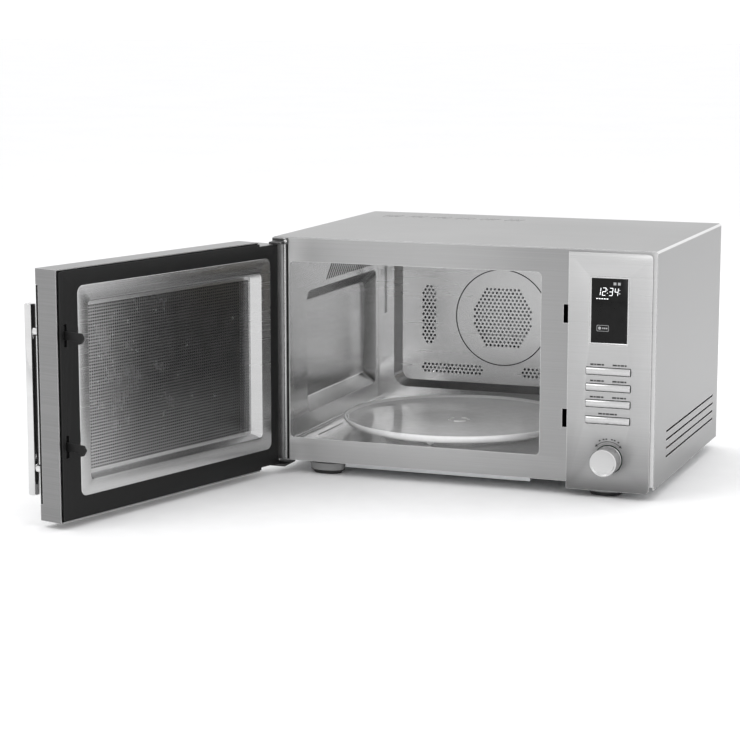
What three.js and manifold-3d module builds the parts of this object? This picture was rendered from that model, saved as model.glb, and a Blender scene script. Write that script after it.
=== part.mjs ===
// Combination microwave oven: a stainless cabinet with a side-hung door standing open.
// Millimetres, +Z up, the front faces -Y and the feet stand on z = 0. The pieces are drawn about the
// cabinet's middle and the front plate's face, then moved so that the whole is centred on the origin.
import * as THREE from 'three';
import { mergeVertices } from 'three/addons/utils/BufferGeometryUtils.js';
import { ConvexGeometry } from 'three/addons/geometries/ConvexGeometry.js';
import Module from 'manifold-3d';

const wasm = await Module();
wasm.setup();

// Cabinet
const CABINET_WIDTH = 520;
const CABINET_DEPTH = 380;
const CABINET_TOP = 317;
const COVER_BOTTOM = 14;
const COVER_FRONT = 1.6;
const SHEET = 1.2;
const GAP = 0.3;
const FRONT_PLATE_BOTTOM = 18;
const FRONT_PLATE_SIDE = 259.5;
const BASE_TOP = 17;

// Oven cavity and the opening in front of it
const OPENING = { x0: -235.5, x1: 110, z0: 49, z1: 285 };
const CAVITY = { x0: -236, x1: 126, z0: 44, z1: 290, depth: 337.5 };
const POCKET = { y0: 62, y1: 330, z0: 70, z1: 238, depth: 14, slope: 17 };
const SIDE_VENT = { y0: 66, y1: 352, height: 3, lowest: 45, spacing: 11, rows: 4 };
const LAMP_WINDOW = { y0: 130, y1: 325, z0: 242, z1: 284 };
const REAR_FIELD = { x0: -201, x1: 91, z0: 75, z1: 258, depth: 10, bevel: 10, corner: 14 };
const FAN_AXIS = { x: -48, z: 172.5 };
const HEATER_RADIUS = 76;
const GRILL = { x0: -167.5, x1: 57.5, y: 316, z: 281 };

// Turntable
const TABLE_AXIS = { x: -48, y: 150 };
const PLATE_BOTTOM = 54;
const PLATE_RADIUS = 157.5;
const RING_RADIUS = 106;
const ROLLER_RADIUS = 4.6;
const ROLLER_HEIGHT = 49.1;
const ROLLER_COUNT = 3;

// Control panel
const PANEL = { x0: 146.5, x1: 254.5, z0: 9, z1: 313, front: -2, back: -0.3, corner: 6 };
const DISPLAY = { x0: 176.5, x1: 222.5, z0: 199.5, z1: 281 };
const BUTTON = { x: 199.7, width: 57.4, height: 9.2, front: -4.6, back: 4 };
const BUTTON_HEIGHTS = [163.1, 142.3, 121.6, 100.4];
const KNOB = { x: 201.5, z: 50.6, radius: 17.5, front: -30 };

// Door: s runs from the hinge edge to the free edge, depth runs inwards from the hinge axis
const DOOR_OPEN_DEGREES = 106;
const DOOR_WIDTH = 413;
const DOOR_BOTTOM = 8;
const DOOR_TOP = 313;
const DOOR_INNER = 5.5;
const DOOR_OUTER = -30.5;
const GLASS_BOTTOM = 28;
const GLASS_TOP = 293;
const HINGE = { x: -254.5, y: -8.1, inset: 5, pinRadius: 1.8, notch: 40 };
const HINGE_UPPER = 307.5;
const HINGE_LOWER = 13.7;
const LATCH_SLOTS = [{ z0: 222, z1: 246 }, { z0: 88, z1: 112 }];
const LATCH_SLOT_X = { x0: 139.8, x1: 146 };
const SCREEN_RIM = { s0: 19, s1: 379.5, z0: 36, z1: 291, corner: 9 };
const SCREEN_RECESS = { s0: 38, s1: 362.5, z0: 54, z1: 272, depth: 15, slope: 4 };
const HANDLE = { s: 391, height: 149, offset: 32, radius: 7, length: 235, postSpacing: 168, postRadius: 5 };

// Moves the middle of the whole, with its door open, onto the origin
const CENTRE_SHIFT = { x: 84.82, y: -2.72 };

// Finishes
function finish(color, roughness, metalness) {
  return new THREE.MeshStandardMaterial({ color, roughness, metalness });
}


const BRUSHED_STEEL = finish(0xc4c4c4, 0.36, 1.0);
const CAVITY_STEEL = finish(0xb4b4b4, 0.42, 1.0);
const DARK_STEEL = finish(0x8c8f92, 0.5, 0.9);
const CHROME = finish(0xe4e4e4, 0.12, 1.0);
const GALVANISED = finish(0xa9adb0, 0.5, 0.85);
const BLACK_PLASTIC = finish(0x1b1b1c, 0.5, 0.0);
const BLACK_GLASS = finish(0x0b0b0c, 0.08, 0.0);
const CLEAR_GLASS = finish(0xdfe6e6, 0.05, 0.0);
const RUBBER = finish(0x141414, 0.85, 0.0);
const MICA = finish(0xc9bfa8, 0.6, 0.0);
const COPPER = finish(0x9a5a32, 0.4, 0.9);
const BOARD_GREEN = finish(0x1f5a34, 0.6, 0.0);
const WHITE_PLASTIC = finish(0xd9d9d4, 0.5, 0.0);
const HEATER_GREY = finish(0x6b6762, 0.6, 0.6);

const group = new THREE.Group();
const oven = new THREE.Group();
oven.position.set(CENTRE_SHIFT.x, CENTRE_SHIFT.y, 0);
group.add(oven);

// ---------- solids ----------

function toSolid(geometry) {
  const bare = geometry.clone();
  bare.deleteAttribute('normal');
  bare.deleteAttribute('uv');
  const merged = mergeVertices(bare, 1e-4);
  return new wasm.Manifold(new wasm.Mesh({
    numProp: 3,
    vertProperties: new Float32Array(merged.attributes.position.array),
    triVerts: new Uint32Array(merged.index.array),
  }));
}

function toGeometry(solid) {
  const mesh = solid.getMesh();
  const geometry = new THREE.BufferGeometry();
  geometry.setAttribute('position', new THREE.BufferAttribute(new Float32Array(mesh.vertProperties), 3));
  geometry.setIndex(new THREE.BufferAttribute(new Uint32Array(mesh.triVerts), 1));
  geometry.computeVertexNormals();
  return geometry;
}

function join(...solids) {
  return solids.reduce((whole, piece) => whole.add(piece));
}

function cut(body, ...tools) {
  return tools.reduce((rest, tool) => rest.subtract(tool), body);
}

function box(x0, x1, y0, y1, z0, z1) {
  const geometry = new THREE.BoxGeometry(x1 - x0, y1 - y0, z1 - z0);
  geometry.translate((x0 + x1) / 2, (y0 + y1) / 2, (z0 + z1) / 2);
  return toSolid(geometry);
}

// A cylinder or cone from one height to another along a chosen axis.
function rod(axis, centre, from, to, radius, segments = 24, endRadius = radius) {
  const geometry = new THREE.CylinderGeometry(endRadius, radius, to - from, segments);
  geometry.translate(0, (from + to) / 2, 0);
  if (axis === 'x') {
    geometry.rotateZ(-Math.PI / 2);
    geometry.translate(0, centre[0], centre[1]);
  } else if (axis === 'y') {
    geometry.translate(centre[0], 0, centre[1]);
  } else {
    geometry.rotateX(Math.PI / 2);
    geometry.translate(centre[0], centre[1], 0);
  }
  return toSolid(geometry);
}

function roundedRectangle(x0, x1, y0, y1, radius, segments = 4) {
  const corners = [[x1 - radius, y0 + radius, -90], [x1 - radius, y1 - radius, 0],
    [x0 + radius, y1 - radius, 90], [x0 + radius, y0 + radius, 180]];
  const points = [];
  for (const [cx, cy, start] of corners) {
    for (let i = 0; i <= segments; i += 1) {
      const angle = THREE.MathUtils.degToRad(start + (90 * i) / segments);
      points.push(new THREE.Vector2(cx + radius * Math.cos(angle), cy + radius * Math.sin(angle)));
    }
  }
  return new THREE.Shape(points);
}

// Extrudes a shape drawn in x and z backwards from y0 to y1.
function uprightPlate(shape, y0, y1) {
  const geometry = new THREE.ExtrudeGeometry(shape, { depth: y1 - y0, bevelEnabled: false });
  geometry.rotateX(Math.PI / 2);
  geometry.translate(0, y1, 0);
  return toSolid(geometry);
}

// Extrudes a shape drawn in y and z sideways from x0 to x1.
function sidePlate(shape, x0, x1) {
  const geometry = new THREE.ExtrudeGeometry(shape, { depth: x1 - x0, bevelEnabled: false });
  const turn = new THREE.Matrix4().makeBasis(
    new THREE.Vector3(0, 1, 0), new THREE.Vector3(0, 0, 1), new THREE.Vector3(1, 0, 0));
  geometry.applyMatrix4(turn);
  geometry.translate(x0, 0, 0);
  return toSolid(geometry);
}

// A solid of revolution about the vertical axis through a point; the profile is [radius, height] pairs.
function turned(profile, segments, x = 0, y = 0) {
  const points = profile.map(([radius, height]) => new THREE.Vector2(radius, height));
  const geometry = new THREE.LatheGeometry(points, segments);
  geometry.rotateX(Math.PI / 2);
  geometry.translate(x, y, 0);
  return toSolid(geometry);
}

// A block whose back face is smaller than its front one, with cut corners.
function taperedBlock(front, back, y0, y1, corner) {
  const points = [];
  for (const [face, y] of [[front, y0], [back, y1]]) {
    for (const [x, dx] of [[face.x0, 1], [face.x1, -1]]) {
      for (const [z, dz] of [[face.z0, 1], [face.z1, -1]]) {
        points.push(new THREE.Vector3(x + dx * corner, y, z));
        points.push(new THREE.Vector3(x, y, z + dz * corner));
      }
    }
  }
  return toSolid(new ConvexGeometry(points));
}

function addMesh(name, solid, material, parent = oven) {
  const mesh = new THREE.Mesh(toGeometry(solid), material);
  mesh.name = name;
  parent.add(mesh);
  return mesh;
}

// ---------- cabinet ----------

// Folded cover: two sides and the top in one sheet, with side louvres and rear top vents.
function outerCover() {
  const half = CABINET_WIDTH / 2;
  const outer = roundedRectangle(-half, half, COVER_BOTTOM - 20, CABINET_TOP, 4);
  const inner = roundedRectangle(-half + SHEET, half - SHEET, COVER_BOTTOM - 30, CABINET_TOP - SHEET, 3);
  const shell = cut(uprightPlate(outer, COVER_FRONT, CABINET_DEPTH),
    uprightPlate(inner, COVER_FRONT - 1, CABINET_DEPTH + 1));
  const below = box(-half - 1, half + 1, 0, CABINET_DEPTH + 1, COVER_BOTTOM - 40, COVER_BOTTOM);
  const openings = [];
  for (let row = 0; row < SIDE_VENT.rows; row += 1) {
    const z = SIDE_VENT.lowest + row * SIDE_VENT.spacing;
    for (const side of [-1, 1]) {
      const x = side * (half - SHEET / 2);
      openings.push(box(x - 2, x + 2, SIDE_VENT.y0, SIDE_VENT.y1,
        z - SIDE_VENT.height / 2, z + SIDE_VENT.height / 2));
    }
  }
  for (let bank = 0; bank < 6; bank += 1) {
    for (let slot = 0; slot < 3; slot += 1) {
      const x = -214 + bank * 36.5 + slot * 9;
      openings.push(slantedSlot(x, 319, 2.6, 24, CABINET_TOP));
    }
  }
  return cut(shell, below, ...openings);
}

// A narrow slot lying across the top sheet at a slant.
function slantedSlot(x, y, width, length, z) {
  const geometry = new THREE.BoxGeometry(width, length, 6);
  geometry.rotateZ(THREE.MathUtils.degToRad(-20));
  geometry.translate(x, y, z);
  return toSolid(geometry);
}

// Floor pan with turned-up edges and a lowered tray between the feet.
function basePlate() {
  const pan = cut(box(-258.4, 258.4, 14.5, 377, BASE_TOP - SHEET, BASE_TOP + 9),
    box(-257.2, 257.2, 15.7, 375.8, BASE_TOP, BASE_TOP + 10));
  const tray = box(-162, 94, 15, 300, 10.5, BASE_TOP);
  const trayInside = box(-160.8, 92.8, 16.2, 298.8, 11.7, BASE_TOP + 1);
  return cut(join(pan, tray), trayInside);
}

// Rear sheet with a raised vented cover over the fan motor.
function rearPanel() {
  const sheet = uprightPlate(roundedRectangle(-258.4, 258.4, 16, 315.2, 4), 378.4, 379.6);
  const raised = box(FAN_AXIS.x - 77.5, FAN_AXIS.x + 77.5, 378.4, 410, 95, 250);
  const inside = box(FAN_AXIS.x - 76.3, FAN_AXIS.x + 76.3, 378, 408.8, 96.2, 248.8);
  const openings = [];
  for (let i = 0; i < 7; i += 1) {
    openings.push(box(FAN_AXIS.x - 51 + i * 16, FAN_AXIS.x - 45 + i * 16, 405, 412, 140, 205));
    openings.push(box(130 + i * 15, 136 + i * 15, 377, 381, 160, 250));
  }
  openings.push(rod('y', [210, 40], 377, 381, 8.3));
  return cut(join(sheet, raised), inside, ...openings);
}

// Oval rubber foot, wider at the top.
function foot() {
  const geometry = new THREE.CylinderGeometry(25, 19, 14.6, 28);
  geometry.rotateX(Math.PI / 2);
  geometry.scale(1, 0.62, 1);
  geometry.translate(0, 0, 7.3);
  return toSolid(geometry);
}

// Front frame of the cabinet: cavity opening, latch slots and a window behind the control panel.
function frontPlate() {
  const sheet = box(-FRONT_PLATE_SIDE, FRONT_PLATE_SIDE, 0, SHEET, FRONT_PLATE_BOTTOM, CABINET_TOP - 0.8);
  const lipOuter = roundedRectangle(-258.3, 258.3, FRONT_PLATE_BOTTOM, CABINET_TOP - 1.7, 4);
  const lipInner = roundedRectangle(-257.1, 257.1, FRONT_PLATE_BOTTOM + SHEET, CABINET_TOP - 2.9, 3);
  const lips = cut(uprightPlate(lipOuter, 0.5, 13.5), uprightPlate(lipInner, 0, 14));
  const opening = roundedRectangle(OPENING.x0, OPENING.x1, OPENING.z0, OPENING.z1, 6);
  const tools = [uprightPlate(opening, -1, 3)];
  for (const slot of LATCH_SLOTS) {
    tools.push(box(LATCH_SLOT_X.x0, LATCH_SLOT_X.x1, -1, 3, slot.z0, slot.z1));
  }
  tools.push(box(164, 236, -1, 3, 90, 288));
  tools.push(rod('y', [KNOB.x, KNOB.z], -1, 3, 20));
  return cut(join(sheet, lips), ...tools);
}

// ---------- cavity ----------

// Folded cavity tube: floor, ceiling and side walls, with the pressed pocket in the left wall.
function cavityShell() {
  const { x0, x1, z0, z1, depth } = CAVITY;
  const outer = box(x0 - 1, x1 + 1, COVER_FRONT, depth, z0 - 1, z1 + 1);
  const pocket = { x0: POCKET.y0, x1: POCKET.y1, z0: POCKET.z0, z1: POCKET.z1 };
  const outerPocket = pressedPocket(pocket, x0 - 0.5, x0 - POCKET.depth - 1, 1);
  const innerPocket = pressedPocket(pocket, x0 + 0.5, x0 - POCKET.depth, 0);
  const tools = [
    box(x0, x1, COVER_FRONT - 1, depth + 1, z0, z1),
    innerPocket,
    box(x0 - 2, x0 + 1, LAMP_WINDOW.y0, LAMP_WINDOW.y1, LAMP_WINDOW.z0, LAMP_WINDOW.z1),
    box(x1 - 1, x1 + 2, 122, 198, 182, 238),
    rod('z', [TABLE_AXIS.x, TABLE_AXIS.y], z0 - 2, z0 + 1, 9),
    rod('z', [GRILL.x0, GRILL.y], z1 - 1, z1 + 2, 4.6, 12),
    rod('z', [GRILL.x1, GRILL.y], z1 - 1, z1 + 2, 4.6, 12),
  ];
  return cut(join(outer, outerPocket), ...tools);
}

// The pocket is pressed outwards, so its outline shrinks towards the outside.
function pressedPocket(outline, xFrom, xTo, grow) {
  const points = [];
  for (const [x, inset] of [[xFrom, -grow], [xTo, POCKET.slope - grow]]) {
    for (const [y, dy] of [[outline.x0 + inset, 1], [outline.x1 - inset, -1]]) {
      for (const [z, dz] of [[outline.z0 + inset, 1], [outline.z1 - inset, -1]]) {
        points.push(new THREE.Vector3(x, y + dy * 10, z));
        points.push(new THREE.Vector3(x, y, z + dz * 10));
      }
    }
  }
  return toSolid(new ConvexGeometry(points));
}

// Rear wall: flat flange, bevelled recess, fan grille and the return-air vents.
function cavityRearWall() {
  const y = CAVITY.depth + GAP;
  const field = { x0: REAR_FIELD.x0, x1: REAR_FIELD.x1, z0: REAR_FIELD.z0, z1: REAR_FIELD.z1 };
  const grown = (by) => ({ x0: field.x0 - by, x1: field.x1 + by, z0: field.z0 - by, z1: field.z1 + by });
  const flange = box(CAVITY.x0 - 1, CAVITY.x1 + 1, y, y + 1, CAVITY.z0 - 1, CAVITY.z1 + 1);
  const { bevel, corner } = REAR_FIELD;
  const back = y + REAR_FIELD.depth;
  const outer = taperedBlock(grown(bevel + 1), grown(1), y, back + 1, corner);
  const inner = taperedBlock(grown(bevel), grown(0), y - 0.01, back, corner);
  const tools = [];
  for (let row = -3; row <= 3; row += 1) {
    const count = 7 - Math.abs(row);
    for (let i = 0; i < count; i += 1) {
      const x = FAN_AXIS.x + (i - (count - 1) / 2) * 11;
      tools.push(rod('y', [x, FAN_AXIS.z + row * 9.5], y, y + 20, 3.8, 6));
    }
  }
  for (const x of [-166.5, -160, -153.5]) {
    tools.push(box(x - 1.8, x + 1.8, y, y + 20, 132, 213));
  }
  for (const z of [87, 94, 101]) {
    tools.push(box(-169, -79, y, y + 20, z - 1.8, z + 1.8));
    tools.push(box(-17, 73, y, y + 20, z - 1.8, z + 1.8));
  }
  return cut(join(flange, outer), inner, ...tools);
}

// Pan behind the rear wall that holds the circulating fan and the ring heater.
function fanHousing() {
  const front = CAVITY.depth + GAP + REAR_FIELD.depth + 1 + GAP;
  const outer = box(FAN_AXIS.x - 92, FAN_AXIS.x + 92, front, 376.4, 80, 254);
  const inside = box(FAN_AXIS.x - 91, FAN_AXIS.x + 91, front - 1, 375.4, 81, 253);
  const shaftHole = rod('y', [FAN_AXIS.x, FAN_AXIS.z], 370, 380, 6);
  const low = FAN_AXIS.z - HEATER_RADIUS;
  const terminals = [-8, 8].map((dx) => rod('y', [FAN_AXIS.x + dx, low], 370, 380, 4.2, 12));
  return cut(outer, inside, shaftHole, ...terminals);
}

// Centrifugal fan: back disc, hub and upright blades.
function convectionFan() {
  const axis = [FAN_AXIS.x, FAN_AXIS.z];
  let fan = join(rod('y', axis, 364, 365.2, 60, 32), rod('y', axis, 353, 365.2, 9, 20));
  for (let i = 0; i < 10; i += 1) {
    const blade = new THREE.BoxGeometry(30, 11, 1.2);
    blade.rotateY(THREE.MathUtils.degToRad(18));
    blade.translate(43, 359, 0);
    blade.rotateY((i * Math.PI) / 5);
    blade.translate(FAN_AXIS.x, 0, FAN_AXIS.z);
    fan = join(fan, toSolid(blade));
  }
  return cut(fan, rod('y', axis, 366 - 7, 366, 2.6, 12));
}

// Fan motor: body, end boss and the shaft that reaches into the fan's hub.
function convectionMotor() {
  const axis = [FAN_AXIS.x, FAN_AXIS.z];
  return join(rod('y', axis, 381, 403, 28, 32), rod('y', axis, 377, 381.5, 14, 24),
    rod('y', axis, 361, 378, 2.2, 12));
}

// Ring heater round the fan, with its two terminals through the housing.
function ringHeater() {
  const torus = new THREE.TorusGeometry(HEATER_RADIUS, 3.2, 8, 40);
  torus.rotateX(Math.PI / 2);
  torus.translate(FAN_AXIS.x, 359, FAN_AXIS.z);
  const low = FAN_AXIS.z - HEATER_RADIUS;
  const legs = [-8, 8].map((dx) => rod('y', [FAN_AXIS.x + dx, low], 359, 378, 2.8, 10));
  return join(toSolid(torus), ...legs);
}

// Looped grill heater below the ceiling; its ends rise through the ceiling.
function grillHeater() {
  const { x0, x1, y, z } = GRILL;
  const first = x0 + 70;
  const second = x1 - 70;
  const turns = [[x0, y, 299], [x0, y, z + 4], [x0, y - 8, z], [x0, 70, z], [x0 + 15, 55, z],
    [first - 15, 55, z], [first, 70, z], [first, 240, z], [first + 15, 255, z],
    [second - 15, 255, z], [second, 240, z], [second, 70, z], [second + 15, 55, z],
    [x1 - 15, 55, z], [x1, 70, z], [x1, y - 8, z], [x1, y, z + 4], [x1, y, 299]];
  const points = turns.map((p) => new THREE.Vector3(...p));
  const path = new THREE.CatmullRomCurve3(points, false, 'catmullrom', 0.05);
  const circle = new THREE.Shape();
  circle.absarc(0, 0, 3.2, 0, Math.PI * 2);
  const tube = new THREE.ExtrudeGeometry(circle, {
    extrudePath: path,
    steps: 64,
    curveSegments: 4,
    bevelEnabled: false,
  });
  return toSolid(tube);
}

// Perforated guard in front of the oven lamp, set into the left wall.
function lampGuard() {
  const { y0, y1, z0, z1 } = LAMP_WINDOW;
  const plate = box(CAVITY.x0 - 1, CAVITY.x0, y0 + 0.4, y1 - 0.4, z0 + 0.4, z1 - 0.4);
  const tools = [];
  for (let column = 0; column < 16; column += 1) {
    for (let row = 0; row < 3; row += 1) {
      const y = y0 + 7 + column * 11.6;
      const z = z0 + 6 + row * 12.5;
      tools.push(box(CAVITY.x0 - 2, CAVITY.x0 + 1, y, y + 5, z, z + 5));
    }
  }
  return cut(plate, ...tools);
}

function ovenLamp() {
  const bulb = new THREE.SphereGeometry(6.6, 16, 10);
  bulb.translate(-249.5, 298, 261);
  return join(toSolid(bulb), rod('y', [-249.5, 261], 303, 322, 6, 16), box(-256, -243, 318, 334, 252, 270));
}

// ---------- microwave generator ----------

function waveguide() {
  const x = CAVITY.x1 + 1 + GAP;
  return cut(box(x, x + 32, 112, 208, 172, 248), box(x - 1, x + 30.8, 113.2, 206.8, 173.2, 246.8),
    rod('x', [160, 210], x + 28, x + 36, 12, 16));
}

function waveguideCover() {
  return box(CAVITY.x1 - 1.3, CAVITY.x1 - GAP, 112, 208, 172, 248);
}

// Magnetron: two yoke plates, cooling fins round the anode and the antenna stub.
function magnetron() {
  const x = CAVITY.x1 + 33.6 + GAP;
  let body = join(rod('x', [160, 210], x + 1, x + 48, 16, 20), rod('x', [160, 210], x - 14, x + 2, 8, 16),
    box(x, x + 1.6, 118, 202, 170, 250), box(x + 46, x + 47.6, 118, 202, 170, 250));
  body = join(body, box(x, x + 47.6, 118, 119.4, 170, 250), box(x, x + 47.6, 200.6, 202, 170, 250));
  for (let fin = 0; fin < 6; fin += 1) {
    const at = x + 9 + fin * 5.6;
    body = join(body, box(at, at + 0.9, 119, 201, 182, 238));
  }
  return join(body, box(x + 47, x + 62, 140, 180, 190, 230));
}

// High-voltage transformer: laminated core with two windings, on a mounting flange.
function highVoltageTransformer() {
  const z = BASE_TOP + GAP;
  return join(box(140, 230, 235, 325, z, z + 1.6), box(150, 220, 245, 315, z + 1, z + 58),
    box(158, 212, 236, 324, z + 10, z + 26), box(158, 212, 238, 322, z + 31, z + 50));
}

function highVoltageCapacitor() {
  const shape = roundedRectangle(150, 185, 60, 112, 14, 5);
  const geometry = new THREE.ExtrudeGeometry(shape, { depth: 78, bevelEnabled: false });
  geometry.translate(0, 0, BASE_TOP + GAP);
  const z = BASE_TOP + GAP + 77;
  return join(toSolid(geometry), box(158, 162, 74, 80, z, z + 10), box(172, 176, 74, 80, z, z + 10));
}

// Cooling fan frame at the rear with three struts that carry the motor.
function coolingFanShroud() {
  const axis = [185, 205];
  let frame = cut(box(130, 240, 355, 377.8, 150, 260), rod('y', axis, 350, 380, 51, 40));
  for (let i = 0; i < 3; i += 1) {
    const strut = new THREE.BoxGeometry(40, 4, 5);
    strut.translate(36, 357.5, 0);
    strut.rotateY((i * 2 * Math.PI) / 3);
    strut.translate(axis[0], 0, axis[1]);
    frame = join(frame, toSolid(strut));
  }
  return join(frame, cut(rod('y', axis, 355.5, 359.5, 18, 24), rod('y', axis, 350, 365, 4, 12)));
}

function coolingFanMotor() {
  const axis = [185, 205];
  return join(rod('y', axis, 332, 355.2, 17, 24), rod('y', axis, 354, 364, 2, 10));
}

function coolingFan() {
  const axis = [185, 205];
  let fan = rod('y', axis, 360, 373, 12, 20);
  for (let i = 0; i < 5; i += 1) {
    const blade = new THREE.BoxGeometry(37, 1.6, 26);
    blade.rotateX(THREE.MathUtils.degToRad(28));
    blade.translate(29, 367, 0);
    blade.rotateY((i * 2 * Math.PI) / 5);
    blade.translate(axis[0], 0, axis[1]);
    fan = join(fan, toSolid(blade));
  }
  return cut(fan, rod('y', axis, 358, 366, 2.5, 12));
}

function noiseFilter() {
  return join(box(195, 245, 300, 370, 285, 286.6), box(205, 225, 310, 335, 286, 305),
    box(228, 240, 345, 362, 286, 300));
}

function cordGland() {
  return join(rod('y', [210, 40], 370, 382, 8, 20), rod('y', [210, 40], 380, 392, 11, 20, 8.5));
}

// ---------- control panel ----------

function controlPanel() {
  const { x0, x1, z0, z1, front, back, corner } = PANEL;
  const plate = uprightPlate(roundedRectangle(x0 - 20, x1, z0, z1, corner, 6), front, back);
  const tools = [box(x0 - 30, x0, front - 1, back + 1, z0 - 1, z1 + 1)];
  tools.push(box(DISPLAY.x0 - 2.6, DISPLAY.x1 + 2.6, front - 1, back + 1,
    DISPLAY.z0 - 2.6, DISPLAY.z1 + 2.6));
  const half = BUTTON.width / 2 + 0.9;
  for (const z of BUTTON_HEIGHTS) {
    const high = BUTTON.height / 2 + 0.8;
    const hole = roundedRectangle(BUTTON.x - half, BUTTON.x + half, z - high, z + high, 1.6, 3);
    tools.push(uprightPlate(hole, front - 1, back + 1));
  }
  tools.push(rod('y', [KNOB.x, KNOB.z], front - 1, back + 1, KNOB.radius + 1.3, 40));
  return cut(plate, ...tools);
}

function displayWindow() {
  return box(DISPLAY.x0, DISPLAY.x1, PANEL.front + 0.1, 0.6, DISPLAY.z0, DISPLAY.z1);
}

function displayBezel() {
  const outer = roundedRectangle(DISPLAY.x0 - 2.3, DISPLAY.x1 + 2.3,
    DISPLAY.z0 - 2.3, DISPLAY.z1 + 2.3, 1.2, 3);
  const inner = box(DISPLAY.x0 - GAP, DISPLAY.x1 + GAP, -4, 3, DISPLAY.z0 - GAP, DISPLAY.z1 + GAP);
  return cut(uprightPlate(outer, PANEL.front - 0.5, 0.6), inner);
}

// Wide key with a domed face, made from a shallow arc swept across its width.
function button() {
  const half = BUTTON.height / 2;
  const side = new THREE.Shape([[BUTTON.back, -half], [BUTTON.back, half], [-3.2, half], [-4.2, half * 0.6],
    [BUTTON.front, 0], [-4.2, -half * 0.6], [-3.2, -half]].map(([y, z]) => new THREE.Vector2(y, z)));
  return sidePlate(side, -BUTTON.width / 2, BUTTON.width / 2);
}

// Selector knob: straight skirt, slightly dished face and a shaft behind it.
function selectorKnob() {
  const length = -KNOB.front;
  const profile = [[0, -7.5], [3, -7.5], [3, 1.5], [KNOB.radius, 1.5], [KNOB.radius, length - 1.4],
    [KNOB.radius - 1.4, length], [KNOB.radius - 2.6, length], [KNOB.radius - 3.4, length - 0.7],
    [0, length - 0.7]];
  const geometry = new THREE.LatheGeometry(profile.map(([r, h]) => new THREE.Vector2(r, h)), 40);
  geometry.rotateX(Math.PI);
  return toSolid(geometry);
}

function knobEncoder() {
  return cut(box(KNOB.x - 9, KNOB.x + 9, 6, 15.6, KNOB.z - 9, KNOB.z + 9),
    rod('y', [KNOB.x, KNOB.z], 5, 9, 3.4, 16));
}

// Control board with the display module and the key switches standing on it.
function controlBoard() {
  let board = join(box(160, 240, 16, 17.6, 34, 292),
    box(DISPLAY.x0 + 2, DISPLAY.x1 - 2, 1, 16.5, DISPLAY.z0 + 3, DISPLAY.z1 - 3));
  for (const z of BUTTON_HEIGHTS) {
    for (const dx of [-20, 20]) {
      board = join(board, box(BUTTON.x + dx - 3, BUTTON.x + dx + 3, 6.2, 16.5, z - 3, z + 3));
    }
  }
  return join(board, box(165, 190, 17, 32, 120, 160), box(205, 232, 17, 27, 60, 100));
}

// Bracket behind the latch slots, with a channel for each hook.
function latchBracket() {
  const tools = LATCH_SLOTS.map((slot) => box(138.2, 147.6, 0, 42, slot.z0 - 4, slot.z1 + 4));
  return cut(box(131, 153, SHEET + GAP, 46, 78, 258), ...tools);
}

function interlockSwitch(z) {
  return join(box(133, 151, 46.3, 57, z, z + 18), box(137, 140, 56, 60, z + 3, z + 5),
    box(144, 147, 56, 60, z + 3, z + 5));
}

// ---------- turntable ----------

// Glass plate with a raised rim and three driving lugs below its centre.
function turntablePlate() {
  const z = PLATE_BOTTOM;
  const r = PLATE_RADIUS;
  const profile = [[0, z], [r - 20, z], [r - 10, z + 3], [r, z + 7.5], [r, z + 11],
    [r - 3, z + 11.6], [r - 6, z + 10], [r - 12, z + 6.5], [r - 22, z + 4], [0, z + 4]];
  return turned(profile, 64, TABLE_AXIS.x, TABLE_AXIS.y);
}

// Three-armed drive coupler on the motor's shaft.
function turntableCoupler() {
  const axis = [TABLE_AXIS.x, TABLE_AXIS.y];
  let coupler = rod('z', axis, 42.2, 53.7, 6.5, 20);
  for (let i = 0; i < 3; i += 1) {
    const arm = new THREE.BoxGeometry(18, 5, 5);
    arm.translate(9, 0, 51.2);
    arm.rotateZ((i * 2 * Math.PI) / 3 + 0.4);
    arm.translate(TABLE_AXIS.x, TABLE_AXIS.y, 0);
    coupler = join(coupler, toSolid(arm));
  }
  return coupler;
}

// Plastic ring with a short axle outside it for each roller.
function rollerRing() {
  const z = ROLLER_HEIGHT;
  let ring = turned([[RING_RADIUS - 5, z - 1.6], [RING_RADIUS, z - 1.6], [RING_RADIUS, z + 1.6],
    [RING_RADIUS - 5, z + 1.6], [RING_RADIUS - 5, z - 1.6]], 48, TABLE_AXIS.x, TABLE_AXIS.y);
  for (let i = 0; i < ROLLER_COUNT; i += 1) {
    const axle = new THREE.CylinderGeometry(1.3, 1.3, 13, 10);
    axle.rotateZ(Math.PI / 2);
    axle.translate(RING_RADIUS + 4, 0, z);
    axle.rotateZ((i * 2 * Math.PI) / ROLLER_COUNT + 0.5);
    axle.translate(TABLE_AXIS.x, TABLE_AXIS.y, 0);
    ring = join(ring, toSolid(axle));
  }
  return ring;
}

function roller() {
  return cut(rod('x', [0, 0], -3.5, 3.5, ROLLER_RADIUS, 20), rod('x', [0, 0], -5, 5, 1.7, 12));
}

function turntableMotor() {
  const axis = [TABLE_AXIS.x, TABLE_AXIS.y];
  return join(rod('z', axis, 20, 38, 24, 32), rod('z', axis, 37, 41.8, 7, 16),
    box(TABLE_AXIS.x - 34, TABLE_AXIS.x + 34, TABLE_AXIS.y - 8, TABLE_AXIS.y + 8, 35.5, 37));
}

// ---------- hinges ----------

function upperHinge() {
  return join(box(-259, -236, -1.6, -GAP, HINGE_UPPER + 0.4, 315),
    box(-259, -242, -13.5, -GAP, HINGE_UPPER + 0.6, HINGE_UPPER + 3.6),
    rod('z', [HINGE.x, HINGE.y], HINGE_UPPER - 10, HINGE_UPPER + 1, HINGE.pinRadius, 16));
}

function lowerHinge() {
  return join(box(-259, -238, -13.5, 24, HINGE_LOWER - 3, HINGE_LOWER - 0.4),
    rod('z', [HINGE.x, HINGE.y], HINGE_LOWER - 1, HINGE_LOWER + 10, HINGE.pinRadius, 16));
}

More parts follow.
